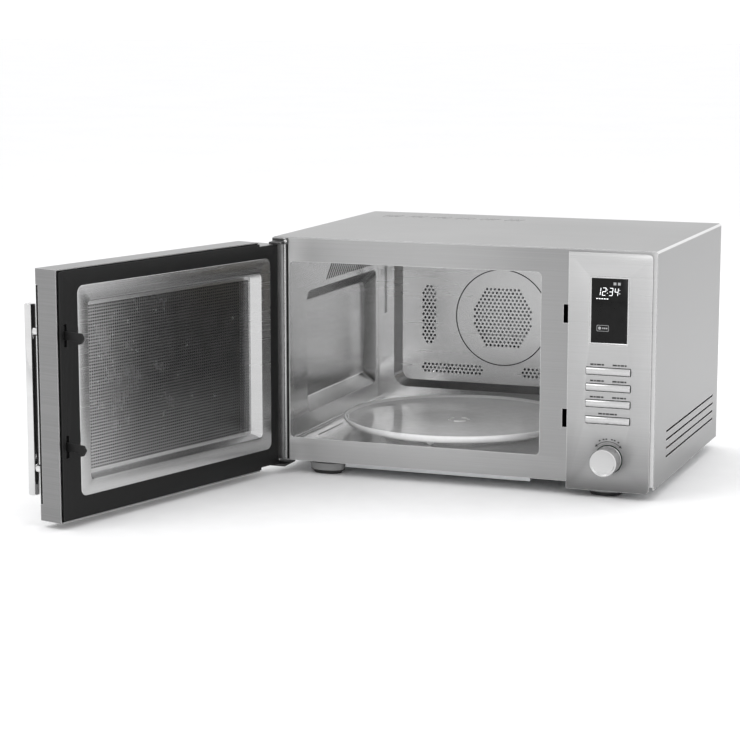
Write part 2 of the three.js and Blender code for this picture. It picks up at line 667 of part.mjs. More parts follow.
// ---------- door (drawn closed, with the hinge axis at the origin) ----------

const atS = (s) => s - HINGE.inset;

function doorBox(s0, s1, y0, y1, z0, z1) {
  return box(atS(s0), atS(s1), y0, y1, z0, z1);
}

// Clearance cut through a door piece at both hinge corners.
function hingeNotches() {
  return [doorBox(-2, HINGE.notch, -40, 20, HINGE_UPPER, DOOR_TOP + 5),
    doorBox(-2, HINGE.notch, -40, 20, DOOR_BOTTOM - 5, HINGE_LOWER)];
}

// Hollow steel door body, open towards the oven, with blocks for the hinge pins.
function doorShell() {
  const face = DOOR_OUTER + 3.8;
  let body = doorBox(0, DOOR_WIDTH, face, 3.1, DOOR_BOTTOM, DOOR_TOP);
  body = join(body, doorBox(0, DOOR_WIDTH, DOOR_OUTER, face + 1, DOOR_BOTTOM, GLASS_BOTTOM - GAP),
    doorBox(0, DOOR_WIDTH, DOOR_OUTER, face + 1, GLASS_TOP + GAP, DOOR_TOP));
  const hollow = cut(doorBox(SHEET, DOOR_WIDTH - SHEET, face + SHEET, 4,
    DOOR_BOTTOM + SHEET, DOOR_TOP - SHEET),
    doorBox(0, HINGE.notch + 2, -40, 20, 294, DOOR_TOP),
    doorBox(0, HINGE.notch + 2, -40, 20, DOOR_BOTTOM, 27));
  const window = uprightPlate(roundedRectangle(atS(43), atS(357), 58, 268, 8), face - 1, face + SHEET + 1);
  const pinHoles = [rod('z', [0, 0], 296, DOOR_TOP + 1, HINGE.pinRadius + 0.5, 16),
    rod('z', [0, 0], DOOR_BOTTOM - 1, 25, HINGE.pinRadius + 0.5, 16)];
  return cut(body, hollow, window, ...hingeNotches(), ...pinHoles);
}

function doorGlass() {
  const holes = [-1, 1].map((side) => {
    const z = HANDLE.height + (side * HANDLE.postSpacing) / 2;
    return rod('y', [atS(HANDLE.s), z], DOOR_OUTER - 1, DOOR_OUTER + 5, HANDLE.postRadius + 0.6, 20);
  });
  return cut(doorBox(0, DOOR_WIDTH, DOOR_OUTER + 0.2, DOOR_OUTER + 3.4, GLASS_BOTTOM, GLASS_TOP), ...holes);
}

// Black choke cover round the steel screen, with a slot for each latch hook.
function doorInnerFrame() {
  const outer = roundedRectangle(atS(3), atS(410), 10.5, 310.5, 2, 3);
  const hole = roundedRectangle(atS(SCREEN_RIM.s0 - 0.4), atS(SCREEN_RIM.s1 + 0.4),
    SCREEN_RIM.z0 - 0.4, SCREEN_RIM.z1 + 0.4, SCREEN_RIM.corner);
  const tools = LATCH_SLOTS.map((slot) => doorBox(398.6, 404.4, 0, 8, slot.z0 - 2, slot.z1 + 2));
  return cut(uprightPlate(outer, 3.4, DOOR_INNER), uprightPlate(hole, 0, 8), ...hingeNotches(), ...tools);
}

// Steel inner panel: flat rim, sloped recess and a perforated field.
function doorScreen() {
  const { s0, s1, z0, z1, depth, slope } = SCREEN_RECESS;
  const top = DOOR_INNER + 0.2;
  const rim = uprightPlate(roundedRectangle(atS(SCREEN_RIM.s0), atS(SCREEN_RIM.s1),
    SCREEN_RIM.z0, SCREEN_RIM.z1, SCREEN_RIM.corner), top - 1, top);
  const mouth = { x0: atS(s0), x1: atS(s1), z0, z1 };
  const grown = (face, by) => ({ x0: face.x0 - by, x1: face.x1 + by, z0: face.z0 - by, z1: face.z1 + by });
  const outer = taperedBlock(grown(mouth, 1 - slope), grown(mouth, 1), top - depth - 1, top - 0.2, 5);
  const inner = taperedBlock(grown(mouth, -slope), grown(mouth, 0), top - depth, top + 0.01, 5);
  const tools = [];
  for (let column = 0; column < 20; column += 1) {
    for (let row = 0; row < 13; row += 1) {
      const s = s0 + 17 + column * 15;
      const z = z0 + 16.5 + row * 15;
      tools.push(doorBox(s, s + 5, top - depth - 3, top - depth + 3, z, z + 5));
    }
  }
  return cut(join(rim, outer), inner, ...tools);
}

// Latch slide: a bar inside the door carrying both hooks.
function doorLatch() {
  let latch = doorBox(396, 407, -4.5, 2.6, 84, 246);
  for (const slot of LATCH_SLOTS) {
    const z = slot.z0 + 3;
    const outline = [[0, z + 4], [26, z + 4], [27, z], [32, z + 1.5], [36.5, z + 8],
      [33, z + 14], [0, z + 15]];
    const side = new THREE.Shape(outline.map(([y, h]) => new THREE.Vector2(y, h)));
    latch = join(latch, sidePlate(side, atS(400.3), atS(402.7)));
  }
  return latch;
}

// Round handle bar with softly chamfered ends.
function handleBar() {
  const half = HANDLE.length / 2;
  const r = HANDLE.radius;
  const profile = [[0, -half], [r - 1.5, -half], [r, -half + 1.5],
    [r, half - 1.5], [r - 1.5, half], [0, half]];
  return turned(profile, 28);
}

function handlePost() {
  const from = DOOR_OUTER - HANDLE.offset + HANDLE.radius + GAP;
  return rod('y', [0, 0], from, DOOR_OUTER + 3.4, HANDLE.postRadius, 20);
}

// ---------- assembly ----------

addMesh('outer_cover', outerCover(), BRUSHED_STEEL);
addMesh('base_plate', basePlate(), GALVANISED);
addMesh('rear_panel', rearPanel(), GALVANISED);
for (const [name, x, y] of [['foot_front_left', -190, 22], ['foot_front_right', 193, 22],
  ['foot_rear_left', -190, 350], ['foot_rear_right', 193, 350]]) {
  addMesh(name, foot(), RUBBER).position.set(x, y, 0);
}
addMesh('front_plate', frontPlate(), BRUSHED_STEEL);
addMesh('cavity_shell', cavityShell(), CAVITY_STEEL);
addMesh('cavity_rear_wall', cavityRearWall(), CAVITY_STEEL);
addMesh('fan_housing', fanHousing(), GALVANISED);
addMesh('convection_fan', convectionFan(), GALVANISED);
addMesh('convection_motor', convectionMotor(), DARK_STEEL);
addMesh('ring_heater', ringHeater(), HEATER_GREY);
addMesh('grill_heater', grillHeater(), HEATER_GREY);
addMesh('lamp_guard', lampGuard(), CAVITY_STEEL);
addMesh('oven_lamp', ovenLamp(), WHITE_PLASTIC);
addMesh('waveguide', waveguide(), GALVANISED);
addMesh('waveguide_cover', waveguideCover(), MICA);
addMesh('magnetron', magnetron(), GALVANISED);
addMesh('hv_transformer', highVoltageTransformer(), COPPER);
addMesh('hv_capacitor', highVoltageCapacitor(), GALVANISED);
addMesh('cooling_fan_shroud', coolingFanShroud(), BLACK_PLASTIC);
addMesh('cooling_fan_motor', coolingFanMotor(), DARK_STEEL);
addMesh('cooling_fan', coolingFan(), WHITE_PLASTIC);
addMesh('noise_filter', noiseFilter(), BOARD_GREEN);
addMesh('cord_gland', cordGland(), BLACK_PLASTIC);
addMesh('control_panel', controlPanel(), BRUSHED_STEEL);
addMesh('display_window', displayWindow(), BLACK_GLASS);
addMesh('display_bezel', displayBezel(), CHROME);
BUTTON_HEIGHTS.forEach((z, i) => {
  addMesh(`button_${i + 1}`, button(), CHROME).position.set(BUTTON.x, 0, z);
});
addMesh('selector_knob', selectorKnob(), CHROME).position.set(KNOB.x, 0, KNOB.z);
addMesh('knob_encoder', knobEncoder(), BLACK_PLASTIC);
addMesh('control_board', controlBoard(), BOARD_GREEN);
addMesh('latch_bracket', latchBracket(), WHITE_PLASTIC);
addMesh('interlock_switch_upper', interlockSwitch(226), BLACK_PLASTIC);
addMesh('interlock_switch_monitor', interlockSwitch(160), BLACK_PLASTIC);
addMesh('interlock_switch_lower', interlockSwitch(92), BLACK_PLASTIC);
addMesh('turntable_plate', turntablePlate(), CLEAR_GLASS);
addMesh('turntable_coupler', turntableCoupler(), WHITE_PLASTIC);
addMesh('roller_ring', rollerRing(), WHITE_PLASTIC);
for (let i = 0; i < ROLLER_COUNT; i += 1) {
  const angle = (i * 2 * Math.PI) / ROLLER_COUNT + 0.5;
  const wheel = addMesh(`roller_${i + 1}`, roller(), WHITE_PLASTIC);
  wheel.position.set(TABLE_AXIS.x + (RING_RADIUS + 5.5) * Math.cos(angle),
    TABLE_AXIS.y + (RING_RADIUS + 5.5) * Math.sin(angle), ROLLER_HEIGHT);
  wheel.rotation.z = angle;
}
addMesh('turntable_motor', turntableMotor(), GALVANISED);
addMesh('hinge_upper', upperHinge(), DARK_STEEL);
addMesh('hinge_lower', lowerHinge(), DARK_STEEL);

const door = new THREE.Group();
door.position.set(HINGE.x, HINGE.y, 0);
door.rotation.z = THREE.MathUtils.degToRad(-DOOR_OPEN_DEGREES);
oven.add(door);
addMesh('door_shell', doorShell(), BRUSHED_STEEL, door);
addMesh('door_glass', doorGlass(), BLACK_GLASS, door);
addMesh('door_inner_frame', doorInnerFrame(), BLACK_PLASTIC, door);
addMesh('door_screen', doorScreen(), CAVITY_STEEL, door);
addMesh('door_latch', doorLatch(), BLACK_PLASTIC, door);
addMesh('handle_bar', handleBar(), CHROME, door)
  .position.set(atS(HANDLE.s), DOOR_OUTER - HANDLE.offset, HANDLE.height);
for (const [name, side] of [['handle_post_upper', 1], ['handle_post_lower', -1]]) {
  addMesh(name, handlePost(), CHROME, door)
    .position.set(atS(HANDLE.s), 0, HANDLE.height + (side * HANDLE.postSpacing) / 2);
}

export default group;
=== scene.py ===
"""Looks of the combination microwave oven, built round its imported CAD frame.

Shapes are drawn in millimetres: the cabinet's about the middle of its front plate, the door's about its hinge
axis with the door shut. CABINET and DOOR then put them where the CAD has them.
"""
import math

import bmesh
import bpy
from mathutils import Matrix, Vector


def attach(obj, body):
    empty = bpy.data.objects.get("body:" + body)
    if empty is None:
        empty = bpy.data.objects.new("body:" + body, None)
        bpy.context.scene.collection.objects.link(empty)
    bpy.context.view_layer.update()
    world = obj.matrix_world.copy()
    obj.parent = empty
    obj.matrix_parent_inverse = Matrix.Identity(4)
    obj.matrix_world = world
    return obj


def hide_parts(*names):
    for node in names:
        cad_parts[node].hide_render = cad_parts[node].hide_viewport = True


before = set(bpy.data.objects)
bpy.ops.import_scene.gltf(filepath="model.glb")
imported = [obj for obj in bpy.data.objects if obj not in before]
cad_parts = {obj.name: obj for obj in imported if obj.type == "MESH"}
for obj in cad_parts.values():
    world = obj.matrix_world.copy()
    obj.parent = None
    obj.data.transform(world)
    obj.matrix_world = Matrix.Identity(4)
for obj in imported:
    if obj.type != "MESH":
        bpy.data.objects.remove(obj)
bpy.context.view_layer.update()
scene = bpy.context.scene

MM = 0.001
CENTRE_SHIFT = Vector((84.82, -2.72, 0.0)) * MM
DOOR_OPEN = math.radians(-106)
CABINET = Matrix.Translation(CENTRE_SHIFT)

# Cabinet
HALF = 260.0
TOP = 317.0
BOTTOM = 14.0
DEPTH = 380.0
OPENING = (-235.5, 110.0, 49.0, 285.0)
CAVITY = (-236.0, 126.0, 44.0, 290.0)
CAVITY_DEPTH = 337.5
FIELD = (-201.0, 91.0, 75.0, 258.0)
FIELD_DEPTH = 10.0
POCKET = (62.0, 330.0, 70.0, 238.0)
POCKET_DEPTH = 14.0
POCKET_SLOPE = 17.0
LAMP_WINDOW = (130.0, 325.0, 242.0, 284.0)
FAN = (-48.0, 172.5)
FAN_SEAM = (68.8, 70.4)
HOLE_PITCH = 6.0
HOLE_RADIUS = 1.9
SIDE_VENT = (66.0, 352.0)
SIDE_VENT_LOWEST = 45.0
SIDE_VENT_SPACING = 11.0
LAMP_SLOT = 4.4
LAMP_STEP = 8.4
ROW_PITCH = 5.1
TABLE = (-48.0, 150.0)
PANEL = (146.5, 254.5, 9.0, 313.0)
DISPLAY = (176.5, 222.5, 199.5, 281.0)
KEY_X = 199.7
KEY_HEIGHTS = (163.1, 142.3, 121.6, 100.4)
KNOB = (201.5, 50.6)
SLOTS = ((222.0, 246.0), (88.0, 112.0))

# Door
DOOR_ENDS = (-5.0, 408.0)
DOOR_HEIGHTS = (8.0, 313.0)
GLASS_HEIGHTS = (28.0, 293.0)
HANDLE = (386.0, -62.5)
HANDLE_MIDDLE = 149.0
HANDLE_LENGTH = 235.0
STEM_OFFSET = 84.0
HINGE_AXIS = (-254.5, -8.1, 0.0)
DOOR = CABINET @ Matrix.Translation(Vector(HINGE_AXIS) * MM) @ Matrix.Rotation(DOOR_OPEN, 4, "Z")


# ---------- shapes ----------

def mesh_from(verts, faces):
    mesh = bpy.data.meshes.new("shape")
    mesh.from_pydata([tuple(v) for v in verts], [], faces)
    bm = bmesh.new()
    bm.from_mesh(mesh)
    bmesh.ops.remove_doubles(bm, verts=bm.verts, dist=1e-4)
    bmesh.ops.recalc_face_normals(bm, faces=bm.faces)
    bm.to_mesh(mesh)
    bm.free()
    return mesh


def merge(*meshes):
    """Several shapes in one mesh."""
    bm = bmesh.new()
    for mesh in meshes:
        bm.from_mesh(mesh)
    whole = bpy.data.meshes.new("shape")
    bm.to_mesh(whole)
    bm.free()
    return whole


def softened(mesh, radius, segments=2, angle=40):
    """Rounds every edge sharper than the angle."""
    bm = bmesh.new()
    bm.from_mesh(mesh)
    limit = math.radians(angle)
    edges = [e for e in bm.edges if len(e.link_faces) == 2 and e.calc_face_angle() > limit]
    bmesh.ops.bevel(bm, geom=edges, offset=radius, segments=segments, profile=0.5, affect="EDGES",
                    clamp_overlap=True)
    bm.to_mesh(mesh)
    bm.free()
    return mesh


def block(x0, x1, y0, y1, z0, z1, radius=0.0, segments=3):
    corners = [(x, y, z) for x in (x0, x1) for y in (y0, y1) for z in (z0, z1)]
    faces = [(0, 1, 3, 2), (4, 6, 7, 5), (0, 4, 5, 1), (2, 3, 7, 6), (0, 2, 6, 4), (1, 5, 7, 3)]
    mesh = mesh_from(corners, faces)
    return softened(mesh, radius, segments) if radius else mesh


def loft(loops, closed=False):
    """Joins loops of equal length with quads. An open loft gets an end cap on both ends."""
    n = len(loops[0])
    verts = [p for loop in loops for p in loop]
    faces = []
    for i in range(len(loops) if closed else len(loops) - 1):
        a, b = i * n, ((i + 1) % len(loops)) * n
        for j in range(n):
            k = (j + 1) % n
            faces.append((a + j, a + k, b + k, b + j))
    if not closed:
        faces.append(tuple(range(n)))
        faces.append(tuple(range((len(loops) - 1) * n, len(loops) * n)))
    return mesh_from(verts, faces)


def rounded(x0, x1, z0, z1, radius, segments=6):
    """Outline of a rectangle with round corners; radius may be one number or one for each corner."""
    radii = radius if isinstance(radius, tuple) else (radius,) * 4
    points = []
    corners = ((x1, z0, -1, 1, -90), (x1, z1, -1, -1, 0), (x0, z1, 1, -1, 90), (x0, z0, 1, 1, 180))
    for (x, z, sx, sz, start), r in zip(corners, radii):
        for i in range(segments + 1):
            a = math.radians(start + 90 * i / segments)
            points.append((x + sx * r + r * math.cos(a), z + sz * r + r * math.sin(a)))
    return points


def at_y(points, y):
    return [(x, y, z) for x, z in points]


def at_x(points, x):
    return [(x, y, z) for y, z in points]


def at_z(points, z):
    return [(x, y, z) for x, y in points]


def upright(points, y0, y1):
    return loft([at_y(points, y0), at_y(points, y1)])


def sideways(points, x0, x1):
    return loft([at_x(points, x0), at_x(points, x1)])


def circle(cx, cz, radius, sides=32, turn=0.0):
    steps = [turn + 2 * math.pi * i / sides for i in range(sides)]
    return [(cx + radius * math.cos(a), cz + radius * math.sin(a)) for a in steps]


def stadium(x0, x1, z0, z1, segments=5):
    return rounded(x0, x1, z0, z1, min(x1 - x0, z1 - z0) / 2 - 0.01, segments)


def lathe(profile, segments=64, centre=(0.0, 0.0, 0.0), axis="z"):
    """Turns (radius, height) pairs about an axis. Both ends of the profile lie on the axis or meet."""
    verts, faces = [], []
    n = len(profile)
    for i in range(segments):
        a = 2 * math.pi * i / segments
        for r, h in profile:
            p = (r * math.cos(a), r * math.sin(a), h)
            if axis == "y":
                p = (p[0], h, p[1])
            elif axis == "x":
                p = (h, p[0], p[1])
            verts.append((p[0] + centre[0], p[1] + centre[1], p[2] + centre[2]))
    for i in range(segments):
        a, b = i * n, ((i + 1) % segments) * n
        for j in range(n - 1):
            ra, rb = profile[j][0], profile[j + 1][0]
            if ra == 0 and rb == 0:
                continue
            if ra == 0:
                faces.append((a + j, a + j + 1, b + j + 1))
            elif rb == 0:
                faces.append((a + j, a + j + 1, b + j))
            else:
                faces.append((a + j, a + j + 1, b + j + 1, b + j))
    return mesh_from(verts, faces)


def tube(path, radius, sides=16):
    """A round bar along a line of points, with flat ends."""
    points = [Vector(p) for p in path]
    loops = []
    side = None
    for i, p in enumerate(points):
        ahead = points[min(i + 1, len(points) - 1)] - points[max(i - 1, 0)]
        ahead.normalize()
        if side is None:
            side = ahead.orthogonal().normalized()
        side = (side - ahead * side.dot(ahead)).normalized()
        up = ahead.cross(side)
        loops.append([tuple(p + radius * (math.cos(a) * side + math.sin(a) * up))
                      for a in (2 * math.pi * j / sides for j in range(sides))])
    return loft(loops)


def rounded_path(corners, radius, segments=6):
    """A line of points with its corners rounded."""
    points = [Vector(corners[0])]
    for before, corner, after in zip(corners, corners[1:], corners[2:]):
        corner = Vector(corner)
        back = Vector(before) - corner
        ahead = Vector(after) - corner
        cut = min(radius, back.length * 0.45, ahead.length * 0.45)
        start = corner + back.normalized() * cut
        end = corner + ahead.normalized() * cut
        for i in range(segments + 1):
            t = i / segments
            points.append((1 - t) ** 2 * start + 2 * t * (1 - t) * corner + t * t * end)
    points.append(Vector(corners[-1]))
    return points


def combined(base, tools, operation="DIFFERENCE"):
    """The base with the tools cut out of it or joined to it."""
    holder = bpy.data.objects.new("holder", base)
    tool = bpy.data.objects.new("tool", merge(*tools))
    for obj in (holder, tool):
        scene.collection.objects.link(obj)
    step = holder.modifiers.new("step", "BOOLEAN")
    step.operation = operation
    step.solver = "MANIFOLD"
    step.object = tool
    graph = bpy.context.evaluated_depsgraph_get()
    result = bpy.data.meshes.new_from_object(holder.evaluated_get(graph))
    bpy.data.objects.remove(holder)
    bpy.data.objects.remove(tool)
    return result


def piece(name, mesh, material, body, place=CABINET, replaces=(), crease=35):
    """Adds a shape to the scene as a named piece that rides on a body."""
    mesh = mesh.copy()
    mesh.name = name
    mesh.transform(place @ Matrix.Scale(MM, 4))
    mesh.materials.clear()
    mesh.materials.append(material)
    mesh.polygons.foreach_set("use_smooth", [True] * len(mesh.polygons))
    mesh.set_sharp_from_angle(angle=math.radians(crease))
    obj = bpy.data.objects.new(name, mesh)
    scene.collection.objects.link(obj)
    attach(obj, body)
    if replaces:
        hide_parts(*replaces)
    return obj


def screw_head(x, y, z, axis, out, radius=3.2):
    """Pan-head screw with a cross recess, standing out of a face along its axis."""
    profile = [(0, 0), (radius, 0), (radius, 0.5), (radius * 0.9, 1.1), (radius * 0.6, 1.6), (0, 1.8)]
    head = lathe([(r, h * out) for r, h in profile], 24, (0, 0, 0), axis)
    arm, deep = radius * 0.62, 0.9
    lo, hi = sorted((deep * out, 2.4 * out))
    if axis == "y":
        bars = [block(-arm, arm, lo, hi, -0.45, 0.45), block(-0.45, 0.45, lo, hi, -arm, arm)]
    else:
        bars = [block(lo, hi, -arm, arm, -0.45, 0.45), block(lo, hi, -0.45, 0.45, -arm, arm)]
    for bar in bars:
        head = combined(head, [bar])
    head.transform(Matrix.Translation((x, y, z)))
    return head


# ---------- materials ----------

def new_material(name):
    material = bpy.data.materials.new(name)
    material.use_nodes = True
    nodes = material.node_tree.nodes
    nodes.clear()
    shader = nodes.new("ShaderNodeBsdfPrincipled")
    output = nodes.new("ShaderNodeOutputMaterial")
    material.node_tree.links.new(shader.outputs["BSDF"], output.inputs["Surface"])
    return material, shader


def paint_light_ramp(nodes, link, colour, source, direction, stops):
    """Paints shade into a colour: multiplies it by a ramp along a direction; stops are (millimetres or slant,
    factor) pairs.
    """
    along = nodes.new("ShaderNodeVectorMath")
    along.operation = "DOT_PRODUCT"
    along.inputs[1].default_value = direction
    if source == "place":
        link(nodes.new("ShaderNodeTexCoord").outputs["Object"], along.inputs[0])
        spots = [(at * MM + CENTRE_SHIFT.dot(Vector(direction)), factor) for at, factor in stops]
    else:
        link(nodes.new("ShaderNodeNewGeometry").outputs["Normal"], along.inputs[0])
        spots = list(stops)
    low, high = spots[0][0], spots[-1][0]
    spread = nodes.new("ShaderNodeMapRange")
    spread.inputs["From Min"].default_value = low
    spread.inputs["From Max"].default_value = high
    link(along.outputs["Value"], spread.inputs["Value"])
    ramp = nodes.new("ShaderNodeValToRGB")
    ramp.color_ramp.interpolation = "EASE"
    while len(ramp.color_ramp.elements) < len(spots):
        ramp.color_ramp.elements.new(0.5)
    for element, (at, factor) in zip(ramp.color_ramp.elements, spots):
        element.position = (at - low) / (high - low)
    for element, (at, factor) in zip(ramp.color_ramp.elements, spots):
        element.color = (factor, factor, factor, 1)
    link(spread.outputs["Result"], ramp.inputs["Fac"])
    product = nodes.new("ShaderNodeMix")
    product.data_type = "RGBA"
    product.blend_type = "MULTIPLY"
    product.inputs["Factor"].default_value = 1.0
    link(colour, product.inputs["A"])
    link(ramp.outputs["Color"], product.inputs["B"])
    return product.outputs["Result"]


def surface(name, dark, light, rough, metallic=0.0, stretch=(1, 1, 1), scale=60.0, detail=4.0, bump=0.1,
            bump_depth=0.0002, blotch=7.0, wear=None, across_top=False, sockets=None, painted_light=()):
    """Procedural finish: a fine grain, stretched for brushed metal, over slow blotches, with worn edges.

    Each painted shade darkens the colour along a direction, by place in the cabinet or by the way a face points:
    painted shade, highlights and reflections laid into the base colour, not part of the finish.
    """
    material, shader = new_material(name)
    tree = material.node_tree
    nodes, link = tree.nodes, tree.links.new
    place = nodes.new("ShaderNodeTexCoord").outputs["Object"]

    def grain_noise(vector_scale):
        mapping = nodes.new("ShaderNodeMapping")
        mapping.inputs["Scale"].default_value = vector_scale
        link(place, mapping.inputs["Vector"])
        noise = nodes.new("ShaderNodeTexNoise")
        noise.inputs["Scale"].default_value = scale
        noise.inputs["Detail"].default_value = detail
        noise.inputs["Roughness"].default_value = 0.62
        link(mapping.outputs["Vector"], noise.inputs["Vector"])
        return noise.outputs["Fac"]

    grain = grain_noise(stretch)
    if across_top:
        flat_grain = grain_noise((stretch[0], stretch[2], stretch[1]))
        normal = nodes.new("ShaderNodeSeparateXYZ")
        link(nodes.new("ShaderNodeNewGeometry").outputs["Normal"], normal.inputs["Vector"])
        up = nodes.new("ShaderNodeMath")
        up.operation = "ABSOLUTE"
        link(normal.outputs["Z"], up.inputs[0])
        mix = nodes.new("ShaderNodeMix")
        link(up.outputs[0], mix.inputs["Factor"])
        link(grain, mix.inputs["A"])
        link(flat_grain, mix.inputs["B"])
        grain = mix.outputs["Result"]

    blotches = nodes.new("ShaderNodeTexNoise")
    blotches.inputs["Scale"].default_value = blotch
    blotches.inputs["Detail"].default_value = 3.0
    link(place, blotches.inputs["Vector"])

    blend = nodes.new("ShaderNodeMath")
    blend.operation = "MULTIPLY_ADD"
    link(grain, blend.inputs[0])
    blend.inputs[1].default_value = 0.6
    half = nodes.new("ShaderNodeMath")
    half.operation = "MULTIPLY"
    link(blotches.outputs["Fac"], half.inputs[0])
    half.inputs[1].default_value = 0.4
    link(half.outputs[0], blend.inputs[2])

    ramp = nodes.new("ShaderNodeValToRGB")
    ramp.color_ramp.elements[0].position = 0.3
    ramp.color_ramp.elements[0].color = (*dark, 1)
    ramp.color_ramp.elements[1].position = 0.7
    ramp.color_ramp.elements[1].color = (*light, 1)
    link(blend.outputs[0], ramp.inputs["Fac"])
    colour = ramp.outputs["Color"]
    # painted shade, highlights and reflections multiplied into the colour
    for source, direction, stops in painted_light:
        colour = paint_light_ramp(nodes, link, colour, source, direction, stops)
    if wear:
        rounded_normal = nodes.new("ShaderNodeBevel")
        rounded_normal.samples = 4
        rounded_normal.inputs["Radius"].default_value = 0.0012
        turn = nodes.new("ShaderNodeVectorMath")
        turn.operation = "DOT_PRODUCT"
        link(rounded_normal.outputs["Normal"], turn.inputs[0])
        link(nodes.new("ShaderNodeNewGeometry").outputs["Normal"], turn.inputs[1])
        edge = nodes.new("ShaderNodeMapRange")
        edge.inputs["From Min"].default_value = 0.98
        edge.inputs["From Max"].default_value = 0.85
        link(turn.outputs["Value"], edge.inputs["Value"])
        worn = nodes.new("ShaderNodeMix")
        worn.data_type = "RGBA"
        link(edge.outputs["Result"], worn.inputs["Factor"])
        link(colour, worn.inputs["A"])
        worn.inputs["B"].default_value = (*wear, 1)
        colour = worn.outputs["Result"]
    link(colour, shader.inputs["Base Color"])

    spread = nodes.new("ShaderNodeMapRange")
    spread.inputs["From Min"].default_value = 0.25
    spread.inputs["From Max"].default_value = 0.75
    spread.inputs["To Min"].default_value = rough[0]
    spread.inputs["To Max"].default_value = rough[1]
    link(blend.outputs[0], spread.inputs["Value"])
    link(spread.outputs["Result"], shader.inputs["Roughness"])

    relief = nodes.new("ShaderNodeBump")
    relief.inputs["Strength"].default_value = bump
    relief.inputs["Distance"].default_value = bump_depth
    link(grain, relief.inputs["Height"])
    link(relief.outputs["Normal"], shader.inputs["Normal"])

    shader.inputs["Metallic"].default_value = metallic
    for socket, value in (sockets or {}).items():
        shader.inputs[socket].default_value = value
    return material


def grey(value):
    return (value, value, value)


BRUSH = (0.06, 0.06, 14.0)
UP, ACROSS, INWARD = (0, 0, 1), (1, 0, 0), (0, 1, 0)
# Painted shade: the cover is darker towards its bottom; by the way a face points, its sides are painted at 0.46
# and its top darker at 0.31, with a painted highlight along the rounded folds and louvre blades between them.
steel = surface("brushed_steel", grey(0.68), grey(0.84), (0.26, 0.4), 1.0, BRUSH, 60, 5, 0.16, 0.00012, 5.0,
                wear=grey(0.9), across_top=True,
                painted_light=(("place", UP, ((14, 0.75), (70, 0.93), (317, 1.0))),
                        ("facing", UP, ((-1, 0.46), (0.08, 0.46), (0.35, 0.95), (0.85, 0.95), (0.97, 0.31),
                                        (1, 0.31)))))
# Painted reflection: the front plate is lightest at its left end, darker towards the control panel and lighter
# again at its right edge.
front_steel = surface("front_plate_steel", grey(0.58), grey(0.7), (0.26, 0.4), 1.0, BRUSH, 60, 5, 0.16, 0.00012,
                      5.0, wear=grey(0.8),
                      painted_light=(("place", ACROSS, ((-260, 1.0), (-238, 0.95), (-200, 0.67), (-60, 0.62), (145, 0.47),
                                                 (250, 0.6), (260, 0.85))),))
# A dark copy of the brushed steel: painted shade for the dark reflections on the door's case.
door_case_painted_dark = surface("door_case_painted_dark", grey(0.2), grey(0.27), (0.28, 0.42), 1.0, BRUSH, 60, 5, 0.14, 0.00012, 5.0,
                     wear=grey(0.6), across_top=True)
# Painted reflection: the panel darkens towards its bottom and slightly towards its left side.
panel_steel = surface("panel_steel", grey(0.49), grey(0.58), (0.24, 0.38), 1.0, BRUSH, 60, 5, 0.14, 0.00012,
                      5.0, wear=grey(0.85),
                      painted_light=(("place", UP, ((9, 0.34), (40, 0.58), (110, 0.8), (220, 0.88), (313, 1.0))),
                              ("place", ACROSS, ((146, 0.94), (200, 0.96), (255, 1.0)))))
# Painted shade: faces that slope upwards, such as the pocket's lower slope, are painted at half brightness.
cavity_steel = surface("cavity_steel", grey(0.78), grey(0.88), (0.16, 0.28), 1.0, (0.1, 0.1, 5.0), 60, 3, 0.04,
                       0.00006, 6.0, wear=grey(0.95), across_top=True,
                       painted_light=(("facing", UP, ((-1, 1.0), (0.35, 1.0), (0.5, 0.5), (0.85, 0.5), (0.95, 1.0),
                                               (1, 1.0))),))
pan_steel = surface("door_pan_steel", grey(0.5), grey(0.58), (0.2, 0.3), 1.0, (0.06, 0.06, 8.0), 60, 3, 0.05,
                    0.0001, 6.0, wear=grey(0.8))
# Painted reflection: the door's mesh is painted lighter at the door's free end and darker towards its hinge.
mesh_steel = surface("door_mesh_steel", grey(0.42), grey(0.48), (0.2, 0.3), 1.0, (1.0, 1.0, 1.0), 40, 3, 0.02,
                     0.0001, 6.0, painted_light=(("place", INWARD, ((-400, 1.0), (-340, 0.95), (-230, 0.55), (0, 0.5))),))
# A darker, even copy of the cavity steel: painted shade for the rear wall's dark reflection.
rear_wall_painted_dark = surface("rear_wall_painted_dark_steel", grey(0.42), grey(0.48), (0.2, 0.3), 1.0, (0.1, 0.5, 2.0), 40, 2, 0.02,
                     0.00005, 5.0)
chrome = surface("chrome", grey(0.5), grey(0.58), (0.08, 0.16), 1.0, (1, 1, 1), 300, 3, 0.01, 0.00001, 12.0,
                 wear=grey(0.9))
handle_chrome = surface("handle_chrome", grey(0.6), grey(0.68), (0.06, 0.12), 1.0, (0.1, 0.1, 1.0), 60, 3,
                        0.004, 0.00001, 12.0)
satin_chrome = surface("satin_chrome", grey(0.5), grey(0.6), (0.2, 0.3), 1.0, (0.1, 0.1, 10.0), 80, 4, 0.05,
                       0.00002, 8.0, wear=grey(0.85))
knob_chrome = surface("knob_chrome", grey(0.5), grey(0.58), (0.18, 0.28), 1.0, (0.1, 0.1, 10.0), 80, 4, 0.04,
                      0.00002, 8.0, wear=grey(0.95))
galvanised = surface("galvanised", (0.42, 0.43, 0.44), (0.6, 0.61, 0.62), (0.35, 0.55), 1.0, (1, 1, 1), 90, 6,
                     0.15, 0.0002, 25.0, wear=grey(0.75))
dark_steel = surface("dark_steel", grey(0.04), grey(0.08), (0.35, 0.5), 1.0, (1, 1, 1), 120, 4, 0.12, 0.0001,
                     10.0, wear=grey(0.4))
